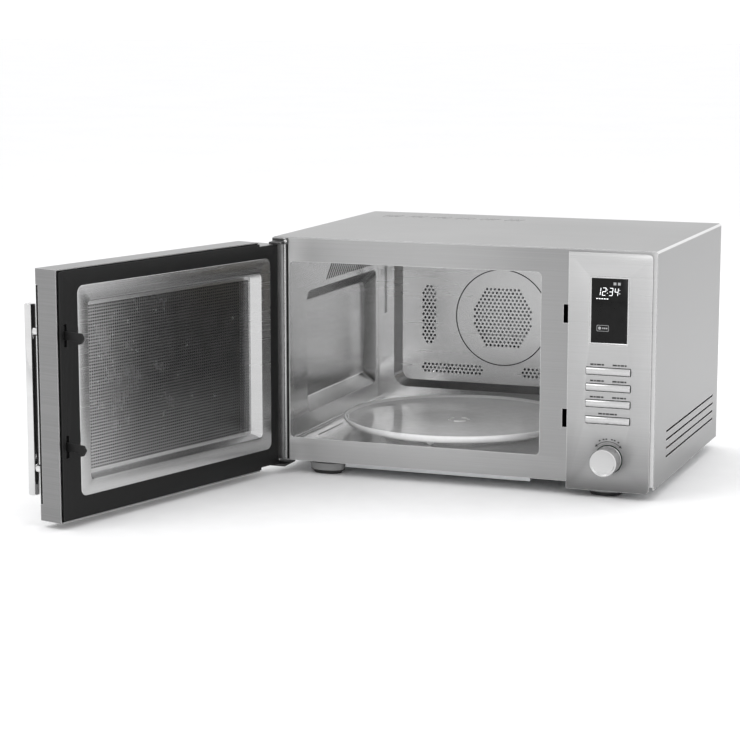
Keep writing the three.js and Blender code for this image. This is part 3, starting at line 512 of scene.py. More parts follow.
black_plastic = surface("black_plastic", grey(0.004), grey(0.008), (0.5, 0.66), 0.0, (1, 1, 1), 900, 4, 0.25,
                        0.0001, 9.0, wear=grey(0.04), sockets={"Specular IOR Level": 0.24})
gloss_black = surface("gloss_black", grey(0.004), grey(0.008), (0.05, 0.12), 0.0, (1, 1, 1), 120, 2, 0.01,
                      0.00002, 6.0, wear=grey(0.03),
                      sockets={"Specular IOR Level": 0.12, "Coat Weight": 0.08, "Coat Roughness": 0.04})
rubber = surface("rubber", grey(0.012), grey(0.024), (0.7, 0.9), 0.0, (1, 1, 1), 700, 5, 0.35, 0.0002, 12.0,
                 wear=grey(0.06))
mica = surface("mica", (0.5, 0.45, 0.36), (0.66, 0.6, 0.5), (0.4, 0.65), 0.0, (1, 1, 1), 140, 6, 0.2, 0.0002,
               14.0, wear=(0.75, 0.7, 0.6))
copper = surface("copper_iron", (0.32, 0.13, 0.05), (0.55, 0.25, 0.11), (0.3, 0.5), 1.0, (0.2, 0.2, 8.0), 90, 4,
                 0.3, 0.0004, 10.0, wear=(0.7, 0.4, 0.2))
board = surface("board_green", (0.01, 0.07, 0.03), (0.03, 0.14, 0.06), (0.3, 0.5), 0.0, (1, 1, 1), 260, 3, 0.15,
                0.0001, 30.0, wear=(0.3, 0.3, 0.2))
white_plastic = surface("white_plastic", grey(0.62), grey(0.72), (0.35, 0.5), 0.0, (1, 1, 1), 500, 4, 0.12,
                        0.0001, 9.0, wear=grey(0.8))
heater_metal = surface("heater_metal", (0.13, 0.12, 0.11), (0.26, 0.24, 0.22), (0.4, 0.6), 0.8, (1, 1, 1), 240,
                       5, 0.3, 0.0002, 18.0, wear=grey(0.4))
print_dark = surface("print_dark", grey(0.01), grey(0.03), (0.45, 0.6), 0.0, (1, 1, 1), 600, 4, 0.1, 0.00002,
                     20.0)
lit = surface("lit_segments", grey(0.75), grey(0.95), (0.4, 0.5), 0.0, (1, 1, 1), 400, 3, 0.02, 0.00001, 20.0,
              sockets={"Emission Color": (0.93, 0.96, 1.0, 1), "Emission Strength": 0.9})
dim = surface("dim_segments", grey(0.2), grey(0.3), (0.4, 0.5), 0.0, (1, 1, 1), 400, 3, 0.02, 0.00001, 20.0,
              sockets={"Emission Color": (0.8, 0.85, 0.9, 1), "Emission Strength": 0.12})


def glass_material():
    """Pressed clear glass: see-through face on, and brighter and denser at its edges."""
    material = surface("turntable_glass", grey(0.8), grey(0.92), (0.04, 0.14), 0.0, (1, 1, 1), 90, 4, 0.2,
                       0.0004, 16.0, sockets={"IOR": 1.5, "Coat Weight": 0.3, "Coat Roughness": 0.06})
    nodes, link = material.node_tree.nodes, material.node_tree.links.new
    shader = next(n for n in nodes if n.type == "BSDF_PRINCIPLED")
    facing = nodes.new("ShaderNodeLayerWeight")
    facing.inputs["Blend"].default_value = 0.35
    alpha = nodes.new("ShaderNodeMapRange")
    alpha.inputs["To Min"].default_value = 0.26
    alpha.inputs["To Max"].default_value = 0.7
    link(facing.outputs["Facing"], alpha.inputs["Value"])
    link(alpha.outputs["Result"], shader.inputs["Alpha"])
    return material


glass = glass_material()

# The rim and the plate's lugs are drawn whiter and more opaque than the plate's glass: a painted highlight.
rim_glass = surface("rim_glass", grey(0.86), grey(0.95), (0.05, 0.12), 0.0, (1, 1, 1), 120, 3, 0.1, 0.0002, 16.0,
                    sockets={"IOR": 1.5, "Coat Weight": 1.0, "Coat Roughness": 0.03, "Alpha": 0.72})
foot_grey = surface("foot_grey", grey(0.2), grey(0.26), (0.5, 0.65), 0.0, (1, 1, 1), 700, 4, 0.2, 0.0001, 9.0,
                    wear=grey(0.4))

CAD_FINISHES = {
    galvanised: ("base_plate", "fan_housing", "convection_fan", "waveguide", "magnetron", "hv_capacitor",
                 "turntable_motor"),
    dark_steel: ("convection_motor", "cooling_fan_motor"),
    copper: ("hv_transformer",),
    board: ("noise_filter", "control_board"),
    black_plastic: ("cooling_fan_shroud", "knob_encoder", "latch_bracket", "interlock_switch_upper",
                    "interlock_switch_monitor", "interlock_switch_lower"),
    white_plastic: ("oven_lamp", "cooling_fan"),
    mica: ("waveguide_cover",),
}
for material, names in CAD_FINISHES.items():
    for name in names:
        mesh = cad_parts[name].data
        mesh.materials.clear()
        mesh.materials.append(material)


# ---------- cabinet ----------

def cabinet_cover():
    outer = rounded(-HALF, HALF, BOTTOM - 20, TOP, 4.0, 8)
    inner = rounded(-HALF + 1.2, HALF - 1.2, BOTTOM - 30, TOP - 1.2, 2.8, 8)
    shell = combined(upright(outer, 1.6, DEPTH), [upright(inner, 0, DEPTH + 2)])
    tools = [block(-HALF - 2, HALF + 2, 0, DEPTH + 3, BOTTOM - 40, BOTTOM)]
    louvres = []
    for row in range(4):
        z = SIDE_VENT_LOWEST + row * SIDE_VENT_SPACING
        for side in (-1, 1):
            x0, x1 = sorted((side * (HALF - 2), side * (HALF + 1)))
            tools.append(sideways(stadium(*SIDE_VENT, z - 1.5, z + 1.5), x0, x1))
            blade = [(side * (HALF - 1.0), z + 1.6), (side * (HALF - 1.4), z + 2.3),
                     (side * (HALF - 7.4), z - 2.5), (side * (HALF - 7.0), z - 3.2)]
            louvres.append(loft([at_y(blade, SIDE_VENT[0] - 2), at_y(blade, SIDE_VENT[1] + 2)]))
    for bank in range(6):
        for slot in range(3):
            tools.append(upright_slot(-214 + bank * 36.5 + slot * 9, 319, 2.6, 24))
    return merge(combined(shell, tools), *louvres)


def upright_slot(x, y, width, length):
    """Cutter for a slanted slot with round ends through the top sheet."""
    turn = Matrix.Rotation(math.radians(-20), 4, "Z")
    outline = stadium(-width / 2, width / 2, -length / 2, length / 2)
    cutter = loft([at_z(outline, -3), at_z(outline, 3)])
    cutter.transform(Matrix.Translation((x, y, TOP)) @ turn)
    return cutter


def front_frame():
    sheet = upright(rounded(-259.5, 259.5, 18, 316.2, 1.2), 0, 1.2)
    tools = [upright(rounded(*OPENING, 6.0), -1, 3)]
    for z0, z1 in SLOTS:
        tools.append(block(139.8, 146, -1, 3, z0, z1))
    tools.append(block(164, 236, -1, 3, 90, 288))
    tools.append(upright(circle(*KNOB, 20), -1, 3))
    plate = softened(combined(sheet, tools), 0.35, 2)
    lips = combined(upright(rounded(-258.3, 258.3, 18, 315.3, 4.0), 1.1, 13.5),
                    [upright(rounded(-257.1, 257.1, 19.2, 314.1, 3.0), 0, 14)])
    return merge(plate, lips)


def rear_cover():
    sheet = upright(rounded(-258.4, 258.4, 16, 315.2, 4.0), 378.4, 379.6)

    def bulge(inset, front, back):
        mouth = rounded(FAN[0] - 77.5 + inset, FAN[0] + 77.5 - inset, 95 + inset, 250 - inset, 10.0 - inset)
        face = rounded(FAN[0] - 71.5 + inset, FAN[0] + 71.5 - inset, 101 + inset, 244 - inset, 8.0 - inset)
        return loft([at_y(mouth, front), at_y(mouth, back - 9), at_y(face, back)])

    body = combined(sheet, [bulge(0, 378.6, 410)], "UNION")
    body = combined(body, [bulge(1.2, 377, 408.8)])
    vents = []
    for i in range(7):
        x = FAN[0] - 51 + i * 16
        vents.append(upright(stadium(x, x + 6, 140, 205), 405, 412))
    for i in range(7):
        vents.append(upright(stadium(130 + i * 15, 136 + i * 15, 160, 250), 377, 381))
    vents.append(upright(circle(210, 40, 8.3), 377, 381))
    for x in (-215, -190, -165):
        vents.append(upright(stadium(x, x + 4, 60, 84), 377, 381))
    return combined(body, vents)


def rubber_foot(x, y):
    return foot_part(x, y, ((23.6, 5.0), (22.4, 4.0), (19.8, 1.6), (19.2, 0.5), (18.2, 0.0)))


def foot_cup(x, y):
    return foot_part(x, y, ((25.0, 14.6), (24.6, 12.0), (23.4, 7.0), (22.8, 5.2)))


def foot_part(x, y, rings):
    return loft([[(x + r * math.cos(a), y + 0.62 * r * math.sin(a), z)
                  for a in (2 * math.pi * i / 48 for i in range(48))] for r, z in rings])


piece("cabinet_cover", cabinet_cover(), steel, "cabinet", replaces=("outer_cover",))
piece("front_frame", front_frame(), front_steel, "cabinet", replaces=("front_plate",))
piece("rear_cover", rear_cover(), galvanised, "cabinet", replaces=("rear_panel",))
for name, x, y in (("front_left", -190, 22), ("front_right", 193, 22), ("rear_left", -190, 350),
                   ("rear_right", 193, 350)):
    piece("rubber_foot_" + name, rubber_foot(x, y), rubber, "cabinet", replaces=("foot_" + name,))
    piece("foot_cup_" + name, foot_cup(x, y), foot_grey, "cabinet")

screws = []
for x, z in ((-248, 30), (248, 30), (-248, 300), (248, 300), (0, 300), (0, 30), (120, 300)):
    screws.append(screw_head(x, 379.4, z, "y", 1, 3.4))
for x, z in ((x, z) for x in (FAN[0] - 84.5, FAN[0] + 84.5) for z in (105, 240)):
    screws.append(screw_head(x, 379.4, z, "y", 1, 2.8))
piece("rear_screws", merge(*screws), satin_chrome, "cabinet")

gland_rings = [(0, 370.0), (8.0, 370.0), (8.0, 380.2), (11.0, 380.4), (11.0, 383.0), (9.6, 383.2)]
for i in range(4):
    start = 383.2 + i * 2.1
    ridge = 9.5 - i * 0.2
    gland_rings += [(8.6, start + 0.3), (8.6, start + 1.0), (ridge, start + 1.2), (ridge, start + 2.0)]
gland_rings += [(7.6, 391.9), (4.2, 392.0), (3.4, 388.0), (0, 388.0)]
piece("cord_grommet", lathe(gland_rings, 40, (210, 0, 40), "y"), black_plastic, "cabinet",
      replaces=("cord_gland",))


# ---------- cavity ----------

def hole(cx, cz, radius, y0, y1, sides=10):
    return upright(circle(cx, cz, radius, sides), y0, y1)


def cavity_liner():
    x0, x1, z0, z1 = CAVITY
    outer = upright(rounded(x0 - 1, x1 + 1, z0 - 1, z1 + 1, 6.0), 1.6, CAVITY_DEPTH)
    inner = upright(rounded(x0, x1, z0, z1, 5.0), 0, CAVITY_DEPTH + 2)
    pocket = pressed_pocket(0.9)
    body = combined(outer, [pocket], "UNION")
    body = combined(body, [inner])
    hollow = softened(pressed_pocket(0.0), 3.0, 3, 20)
    body = combined(body, [hollow])
    cuts = [block(x1 - 1, x1 + 2, 122, 198, 182, 238),
            loft([at_z(circle(*TABLE, 9), z0 - 2), at_z(circle(*TABLE, 9), z0 + 1)])]
    for x in (-167.5, 57.5):
        cuts.append(loft([at_z(circle(x, 316, 4.6), z1 - 1), at_z(circle(x, 316, 4.6), z1 + 2)]))
    cuts.append(block(x0 - 2, x0 + 1, *LAMP_WINDOW))
    return combined(body, cuts)


def pressed_pocket(grow):
    """The pocket that is pressed outwards into the left wall."""
    x0 = CAVITY[0]
    y0, y1, z0, z1 = POCKET
    rim = rounded(y0 - grow, y1 + grow, z0 - grow, z1 + grow, 13.0)
    inset = POCKET_SLOPE - grow
    deep = rounded(y0 + inset, y1 - inset, z0 + inset, z1 - inset, 9.0)
    return loft([at_x(rim, x0 + 2.5), at_x(rim, x0 + 0.2), at_x(deep, x0 - POCKET_DEPTH - grow)])


def lamp_grille():
    """Sheet with slanted slots in front of the lamp."""
    x0 = CAVITY[0]
    y0, y1, z0, z1 = LAMP_WINDOW
    plate = block(x0 - 0.6, x0, y0 + 0.05, y1 - 0.05, z0 + 0.05, z1 - 0.05)
    rise = z1 - z0 - 6
    slots = []
    y = y0 + 2
    while y < y1 - 6:
        top = min(rise, y1 - 5 - y)
        outline = [(y, z0 + 3), (y + LAMP_SLOT, z0 + 3), (y + LAMP_SLOT + top, z0 + 3 + top),
                   (y + top, z0 + 3 + top)]
        slots.append(sideways(outline, x0 - 3, x0 + 1))
        y += LAMP_STEP
    return combined(plate, slots)


def grille_shade_sheet():
    """Dark sheet behind the grille: painted shade that makes the slots read dark, and hides the lamp behind them.
    """
    y0, y1, z0, z1 = LAMP_WINDOW
    return block(CAVITY[0] - 2.2, CAVITY[0] - 1.3, y0 - 3, y1 + 3, z0 - 3, z1 + 2, 0.2, 1)


def rear_holes():
    """Centres of the holes in the rear wall: fan grille, left column and the two lower rows."""
    places = []
    counts = (9, 10, 11, 12, 13, 14, 15, 14, 15, 14, 15, 14, 13, 12, 11, 10, 9)
    for row, count in enumerate(counts):
        for i in range(count):
            places.append((FAN[0] + (i - (count - 1) / 2) * HOLE_PITCH, FAN[1] + (8 - row) * ROW_PITCH))
    column = (2, 3, 4, 3, 4, 3, 4, 3, 4, 3, 4, 3, 4, 3, 4, 3, 2)
    for row, count in enumerate(column):
        for i in range(count):
            places.append((-160 + (i - (count - 1) / 2) * HOLE_PITCH, FAN[1] + (8 - row) * ROW_PITCH))
    for side in (-1, 1):
        middle = FAN[0] + side * 76
        for row, count in enumerate((15, 16, 15)):
            for i in range(count):
                places.append((middle + (i - (count - 1) / 2) * HOLE_PITCH, 99.1 - row * ROW_PITCH))
    return places


def rear_wall():
    x0, x1, z0, z1 = CAVITY
    y = CAVITY_DEPTH + 0.3
    fx0, fx1, fz0, fz1 = FIELD
    flange = upright(rounded(x0 - 1, x1 + 1, z0 - 1, z1 + 1, 5.0), y, y + 1)

    def pan(grow, front, back):
        mouth = rounded(fx0 - 10 - grow, fx1 + 10 + grow, fz0 - 10 - grow, fz1 + 10 + grow, 20.0, 8)
        floor = rounded(fx0 - grow, fx1 + grow, fz0 - grow, fz1 + grow, 14.0, 8)
        return loft([at_y(mouth, front), at_y(floor, back)])

    body = combined(flange, [pan(1.0, y, y + FIELD_DEPTH + 1)], "UNION")
    body = combined(body, [pan(0.0, y - 0.02, y + FIELD_DEPTH)])
    deep = y + FIELD_DEPTH
    groove_in, groove_out = (circle(FAN[0] - 0.5, FAN[1], radius, 96) for radius in FAN_SEAM)
    groove = loft([at_y(groove_out, deep - 1), at_y(groove_out, deep + 0.7), at_y(groove_in, deep + 0.7),
                   at_y(groove_in, deep - 1)], closed=True)
    body = combined(body, [groove])
    body = combined(body, [hole(x, z, HOLE_RADIUS, y - 1, y + 20) for x, z in rear_holes()])
    strip = [[(-226, z), (-222, z + 2.2), (-222, z + 3.6), (-226, z + 1.4)]
             for z in (172 + i * 2.8 for i in range(40))]
    return combined(body, [upright(outline, y - 1, y + 3) for outline in strip])


def fan_cover_seam():
    """Dark gap in the groove round the fan's cover."""
    deep = CAVITY_DEPTH + 0.3 + FIELD_DEPTH
    rings = [circle(FAN[0] - 0.5, FAN[1], radius, 96) for radius in (FAN_SEAM[1] - 0.1, FAN_SEAM[0] + 0.1)]
    return loft([at_y(rings[0], deep + 0.1), at_y(rings[0], deep + 0.65), at_y(rings[1], deep + 0.65),
                 at_y(rings[1], deep + 0.1)], closed=True)


piece("fan_cover_seam", fan_cover_seam(), black_plastic, "cabinet")
piece("cavity_liner", cavity_liner(), cavity_steel, "cabinet", replaces=("cavity_shell",))
piece("lamp_grille", lamp_grille(), cavity_steel, "cabinet", replaces=("lamp_guard",))
# painted shade: a dark sheet behind the lamp grille
piece("lamp_grille_painted_shade", grille_shade_sheet(), black_plastic, "cabinet")
piece("cavity_rear", rear_wall(), rear_wall_painted_dark, "cabinet", replaces=("cavity_rear_wall",))


def floor_beads():
    """Pressed beads along the foot of the left wall."""
    x0, z0 = CAVITY[0], CAVITY[2]
    long_bead = tube([(x0 + 6, 8, z0), (x0 + 6, CAVITY_DEPTH - 4, z0)], 2.0, 16)
    short_bead = tube([(x0 + 21, 46, z0 - 0.4), (x0 + 21, 140, z0 - 0.4)], 1.4, 12)
    return merge(long_bead, short_bead)


grill_path = [(-167.5, 316, 299), (-167.5, 316, 281), (-167.5, 55, 281), (-97.5, 55, 281), (-97.5, 255, 281),
              (-12.5, 255, 281), (-12.5, 55, 281), (57.5, 55, 281), (57.5, 316, 281), (57.5, 316, 299)]
piece("floor_beads", floor_beads(), cavity_steel, "cabinet")
piece("grill_element", tube(rounded_path(grill_path, 15, 8), 3.2), heater_metal, "cabinet",
      replaces=("grill_heater",))
ring_path = [(FAN[0] + 76 * math.sin(a), 359, FAN[1] - 76 * math.cos(a))
             for a in (math.radians(7 + 346 * i / 72) for i in range(73))]
ring_ends = [[(FAN[0] + side * 8, y, FAN[1] - 75.4) for y in (359, 378)] for side in (-1, 1)]
piece("ring_element", merge(tube(ring_path, 3.2), *[tube(ends, 2.8) for ends in ring_ends]), heater_metal,
      "cabinet", replaces=("ring_heater",))


# ---------- turntable ----------

plate_profile = [(0, 54.2), (60, 54.2), (61, 54.0), (140, 54.0), (147, 54.5), (150.2, 55.4), (150.2, 62.4),
                 (147.5, 61.2), (142, 59.6), (134, 58.7), (114, 58.1), (110, 58.0), (0, 58.0)]
rim_profile = [(150.4, 55.5), (153.4, 57.0), (156.2, 59.6), (157.3, 61.8), (157.5, 63.4), (157.5, 64.6),
               (156.7, 65.3), (155.5, 65.6), (153.8, 65.3), (152.4, 64.2), (150.4, 62.6), (150.4, 55.5)]
piece("glass_plate", lathe(plate_profile, 128, (*TABLE, 0)), glass, "turntable", replaces=("turntable_plate",),
      crease=50)
piece("glass_rim", lathe(rim_profile, 128, (*TABLE, 0)), rim_glass, "turntable", crease=50)


def plate_lugs():
    """Three short raised ridges pressed into the middle of the plate."""
    lugs = []
    for turn in range(3):
        start = math.radians(turn * 120 + 20)
        path = [(13.5 * math.cos(start + math.radians(i * 7)), 13.5 * math.sin(start + math.radians(i * 7)), 58.0)
                for i in range(11)]
        lugs.append(tube(path, 1.5, 12))
    ridges = merge(*lugs)
    ridges.transform(Matrix.Translation((*TABLE, 0)))
    return ridges


piece("plate_lugs", plate_lugs(), rim_glass, "turntable")


def drive_coupler():
    hub = lathe([(0, 42.2), (5.2, 42.2), (6.5, 43.2), (6.5, 52.6), (5.6, 53.7), (0, 53.7)], 36, (*TABLE, 0))
    for i in range(3):
        arm = block(0, 18, -2.5, 2.5, 48.7, 53.6, 1.1, 3)
        arm.transform(Matrix.Translation((*TABLE, 0)) @ Matrix.Rotation(i * 2 * math.pi / 3 + 0.4, 4, "Z"))
        hub = combined(hub, [arm], "UNION")
    return hub


piece("drive_coupler", drive_coupler(), white_plastic, "coupler", replaces=("turntable_coupler",))
ring_section = rounded(101, 106, 47.5, 50.7, 1.2, 3)
ring = lathe([*ring_section, ring_section[0]], 96, (*TABLE, 0))
axles = []
for i in range(3):
    angle = i * 2 * math.pi / 3 + 0.5
    turn = Matrix.Translation((*TABLE, 49.1)) @ Matrix.Rotation(angle, 4, "Z")
    axle = lathe([(0, 103.5), (1.3, 103.5), (1.3, 116.2), (0.9, 116.5), (0, 116.5)], 16, (0, 0, 0), "x")
    axle.transform(turn)
    axles.append(axle)
    wheel = lathe([(1.7, -3.5), (4.0, -3.5), (4.6, -2.9), (4.6, 2.9), (4.0, 3.5), (3.4, 3.5), (3.1, 3.0),
                   (2.3, 3.0), (1.7, 3.5), (1.7, -3.5)], 40, (0, 0, 0), "x")
    wheel.transform(turn @ Matrix.Translation((111.5, 0, 0)))
    piece(f"ring_wheel_{i + 1}", wheel, white_plastic, f"wheel_{i + 1}", replaces=(f"roller_{i + 1}",))
piece("wheel_ring", merge(ring, *axles), white_plastic, "ring", replaces=("roller_ring",))


# ---------- control panel ----------

def panel_plate():
    x0, x1, z0, z1 = PANEL
    plate = upright(rounded(x0, x1, z0, z1, (6.0, 6.0, 0.3, 0.3)), -2.0, -0.3)
    dx0, dx1, dz0, dz1 = DISPLAY
    tools = [upright(rounded(dx0 - 2.6, dx1 + 2.6, dz0 - 2.6, dz1 + 2.6, 1.6), -3, 1)]
    for z in KEY_HEIGHTS:
        tools.append(upright(rounded(KEY_X - 29.6, KEY_X + 29.6, z - 5.4, z + 5.4, 1.8), -3, 1))
    tools.append(upright(circle(*KNOB, 18.8, 72), -3, 1))
    return softened(combined(plate, tools), 0.4, 2)


def bezel():
    x0, x1, z0, z1 = DISPLAY

    def ring(grow, radius, y):
        return at_y(rounded(x0 - grow, x1 + grow, z0 - grow, z1 + grow, radius, 4), y)

    return loft([ring(2.3, 1.3, 0.6), ring(2.3, 1.3, -2.1), ring(2.0, 1.2, -2.45), ring(1.5, 1.0, -2.5),
                 ring(0.7, 0.6, -2.2), ring(0.3, 0.4, -1.9), ring(0.3, 0.4, 0.6)], closed=True)


def key():
    """Wide key with a softly domed face."""
    half, w = 4.6, 28.7
    face = [(4.0, half), (-2.6, half), (-3.5, half - 0.5), (-4.1, half - 1.4), (-4.45, half - 2.7), (-4.6, 0)]
    section = face + [(y, -z) for y, z in reversed(face[:-1])]
    body = loft([at_x(section, -w), at_x(section, w)])
    return softened(body, 0.7, 3, 60)


def knob():
    profile = [(0, 7.5), (3, 7.5), (3, -1.5), (16.9, -1.5), (17.5, -2.1), (17.5, -4.0), (17.1, -4.4), (17.1, -5.0),
               (17.5, -5.4), (17.5, -28.4), (17.3, -29.3), (16.7, -29.9), (16.0, -30.0), (15.2, -29.8),
               (14.7, -29.4), (14.2, -29.3), (0, -29.0)]
    return lathe(profile, 96, (0, 0, 0), "y")


piece("panel_plate", panel_plate(), panel_steel, "cabinet", replaces=("control_panel",))
piece("display_glass", block(DISPLAY[0], DISPLAY[1], -1.9, 0.6, DISPLAY[2], DISPLAY[3], 0.3, 2), gloss_black,
      "cabinet", replaces=("display_window",))
piece("display_frame", bezel(), chrome, "cabinet", replaces=("display_bezel",))


def on_panel(x, z):
    return CABINET @ Matrix.Translation(Vector((x, 0, z)) * MM)


for i, z in enumerate(KEY_HEIGHTS):
    piece(f"key_bar_{i + 1}", key(), chrome, f"key_{i + 1}", on_panel(KEY_X, z),
          replaces=(f"button_{i + 1}",))
piece("knob_cap", knob(), knob_chrome, "knob", on_panel(*KNOB), replaces=("selector_knob",))


def flat(points, y, thick=0.06):
    """A thin printed shape standing just off a front face."""
    return upright(points, y - thick, y)


def rectangle(x0, x1, z0, z1):
    return [(x0, z0), (x1, z0), (x1, z1), (x0, z1)]


def digit(value, x, z, width=4.7, height=10.0, bar=0.62):
    """Seven-segment clock digit with its lower left corner at x, z."""
    lit_bars = {0: "abcdef", 1: "bc", 2: "abged", 3: "abgcd", 4: "fgbc"}[value]
    middle = height / 2
    bars = {"a": (bar * 0.6, width - bar * 0.6, height - bar, height), "d": (bar * 0.6, width - bar * 0.6, 0, bar),
            "g": (bar * 0.6, width - bar * 0.6, middle - bar / 2, middle + bar / 2),
            "b": (width - bar, width, middle + bar * 0.4, height - bar * 0.6),
            "c": (width - bar, width, bar * 0.6, middle - bar * 0.4),
            "f": (0, bar, middle + bar * 0.4, height - bar * 0.6), "e": (0, bar, bar * 0.6, middle - bar * 0.4)}
    shapes = []
    for name in lit_bars:
        x0, x1, z0, z1 = bars[name]
        lean = [(px + 0.12 * pz, pz) for px, pz in rectangle(x0, x1, z0, z1)]
        shapes.append(flat([(x + px, z + pz) for px, pz in lean], GLASS_FRONT))
    return shapes


GLASS_FRONT = -1.9
PLATE_FRONT = -2.0
left, top = DISPLAY[0], DISPLAY[3]
digits = []
for value, offset in ((1, 6.4), (2, 13.2), (3, 22.0), (4, 29.0)):
    digits += digit(value, left + offset, top - 21.6)
for offset in (19.9, 35.6):
    for drop in (18.4, 14.2):
        x, z = left + offset, top - drop
        digits.append(flat(rectangle(x, x + 0.8, z - 0.4, z + 0.4), GLASS_FRONT))
for i in range(5):
    x = left + 6.0 + i * 3.3
    digits.append(flat(rectangle(x, x + 2.2, top - 26.2, top - 25.2), GLASS_FRONT))
piece("clock_digits", merge(*digits), lit, "cabinet")

icons = [flat(rectangle(x, x + 3.6, top - 8.0, top - 4.6), GLASS_FRONT) for x in (left + 28, left + 33.6)]
tag = (left + 7.2, left + 22.8, top - 67.0, top - 59.2)
tag_outer = rounded(*tag, 1.2, 3)
tag_inner = rounded(tag[0] + 0.5, tag[1] - 0.5, tag[2] + 0.5, tag[3] - 0.5, 0.8, 3)
icons.append(loft([at_y(tag_outer, GLASS_FRONT), at_y(tag_outer, GLASS_FRONT - 0.06),
                   at_y(tag_inner, GLASS_FRONT - 0.06), at_y(tag_inner, GLASS_FRONT)], closed=True))
icons.append(flat(circle(left + 11.0, top - 63.1, 1.9, 16), GLASS_FRONT))
for x0, x1 in ((14.2, 15.6), (16.2, 18.4), (19.0, 21.0)):
    icons.append(flat(rectangle(left + x0, left + x1, top - 64.0, top - 62.2), GLASS_FRONT))
piece("display_icons", merge(*icons), dim, "cabinet")


def dashes(x, z, lengths, high=2.1, space=0.8):
    """A short row of blank bars where a caption would be."""
    total = sum(lengths) + space * (len(lengths) - 1)
    start = x - total / 2
    shapes = []
    for length in lengths:
        shapes.append(flat(rectangle(start, start + length, z - high / 2, z + high / 2), PLATE_FRONT))
        start += length + space
    return shapes


captions = []
for i, z in enumerate(KEY_HEIGHTS):
    if i < 3:
        captions += dashes(KEY_X - 14.5, z + 8.4, (4.2, 2.6, 5.4, 3.2))
        captions += dashes(KEY_X + 14.5, z + 8.4, (5.6, 3.0, 4.6, 2.4))
    else:
        captions += dashes(KEY_X, z + 8.4, (5.0, 3.2, 4.2, 5.8, 2.8))
piece("key_captions", merge(*captions), print_dark, "cabinet")


def arc_band(radius, width, start, end, steps=40):
    outer, inner = [], []
    for i in range(steps + 1):
        a = math.radians(start + (end - start) * i / steps)
        outer.append((KNOB[0] + (radius + width) * math.cos(a), KNOB[1] + (radius + width) * math.sin(a)))
        inner.append((KNOB[0] + radius * math.cos(a), KNOB[1] + radius * math.sin(a)))
    return outer + inner[::-1]


def arrow_head(radius, angle, way):
    a = math.radians(angle)
    out, along = Vector((math.cos(a), math.sin(a))), Vector((-math.sin(a), math.cos(a))) * way
    tip = Vector(KNOB) + out * radius
    points = [tip + along * 3.6, tip + out * 2.0, tip - out * 2.0]
    return [tuple(p) for p in points]


scale_marks = [flat(arc_band(22.4, 0.8, 50, 130), PLATE_FRONT), flat(arrow_head(22.8, 130, 1), PLATE_FRONT),
               flat(arrow_head(22.8, 50, -1), PLATE_FRONT)]
for start in (60, 72, 80, 96, 104, 116):
    scale_marks.append(flat(arc_band(25.2, 1.7, start - 2.5, start + 2.5, 4), PLATE_FRONT))
piece("knob_arc", merge(*scale_marks), print_dark, "cabinet")


# ---------- hinges ----------

# Painted shadow and highlight beside the hinges: a black strip stands for the shadow in the gap beside the door,
# and a satin steel strip for a highlight along the door's edge.
piece("hinge_gap_painted_shadow", block(-239.8, -236.6, -0.7, 0.2, 19, 315.5, 0.2, 1), black_plastic, "cabinet")
piece("hinge_edge_painted_highlight", block(-243.6, -240.6, -1.1, 0.2, 19, 315.5, 0.5, 3), satin_chrome, "cabinet")


def upper_hinge():
    bracket = merge(block(-259, -236, -1.6, -0.3, 307.9, 315, 0.4, 2),
                    block(-259, -242, -13.5, -0.3, 308.1, 311.1, 0.5, 2))
    pin = lathe([(0, 297.5), (1.8, 297.5), (1.8, 311.9), (1.2, 312.6), (0, 312.6)], 24, HINGE_AXIS)
    return merge(bracket, pin)


def lower_hinge():
    bracket = block(-259, -238, -13.5, 24, 10.7, 13.3, 0.5, 2)
    pin = lathe([(0, 9.9), (1.2, 9.9), (1.8, 10.4), (1.8, 23.7), (0, 23.7)], 24, HINGE_AXIS)
    return merge(bracket, pin)


piece("hinge_top_bracket", upper_hinge(), dark_steel, "cabinet", replaces=("hinge_upper",))
piece("hinge_bottom_bracket", lower_hinge(), dark_steel, "cabinet", replaces=("hinge_lower",))
piece("hinge_screw", screw_head(-240, -1.6, 311.4, "y", -1, 2.4), satin_chrome, "cabinet")


# ---------- door ----------

def notches():
    x0 = DOOR_ENDS[0]
    return [block(x0 - 2, x0 + 40, -40, 20, 307.5, 320), block(x0 - 2, x0 + 40, -40, 20, 0, 13.7)]


def door_case():
    x0, x1 = DOOR_ENDS
    z0, z1 = DOOR_HEIGHTS
    body = block(x0, x1, -26.7, 3.1, z0, z1)
    bands = [block(x0, x1, -30.5, -26, z0, 27.7), block(x0, x1, -30.5, -26, 293.3, z1)]
    body = combined(body, bands, "UNION")
    hollow = block(x0 + 1.2, x1 - 1.2, -25.5, 4, z0 + 1.2, z1 - 1.2)
    keep = [block(x0, x0 + 42, -40, 20, 294, z1), block(x0, x0 + 42, -40, 20, z0, 27)]
    hollow = combined(hollow, keep)
    body = combined(body, [hollow])
    window = upright(rounded(38, 352, 58, 268, 8.0), -28, -24)
    pin_hole = circle(0, 0, 2.3, 24)
    holes = [loft([at_z(pin_hole, a), at_z(pin_hole, b)]) for a, b in ((296, 307), (14, 25))]
    for cuts in ([window], notches(), holes):
        body = combined(body, cuts)
    return softened(body, 0.7, 2, 60)


def door_glass():
    x0, x1 = DOOR_ENDS
    slab = block(x0, x1, -30.3, -27.1, *GLASS_HEIGHTS, 0.5, 2)
    holes = [upright(circle(HANDLE[0], HANDLE_MIDDLE + side * STEM_OFFSET, 5.6), -32, -25)
             for side in (-1, 1)]
    return combined(slab, holes)


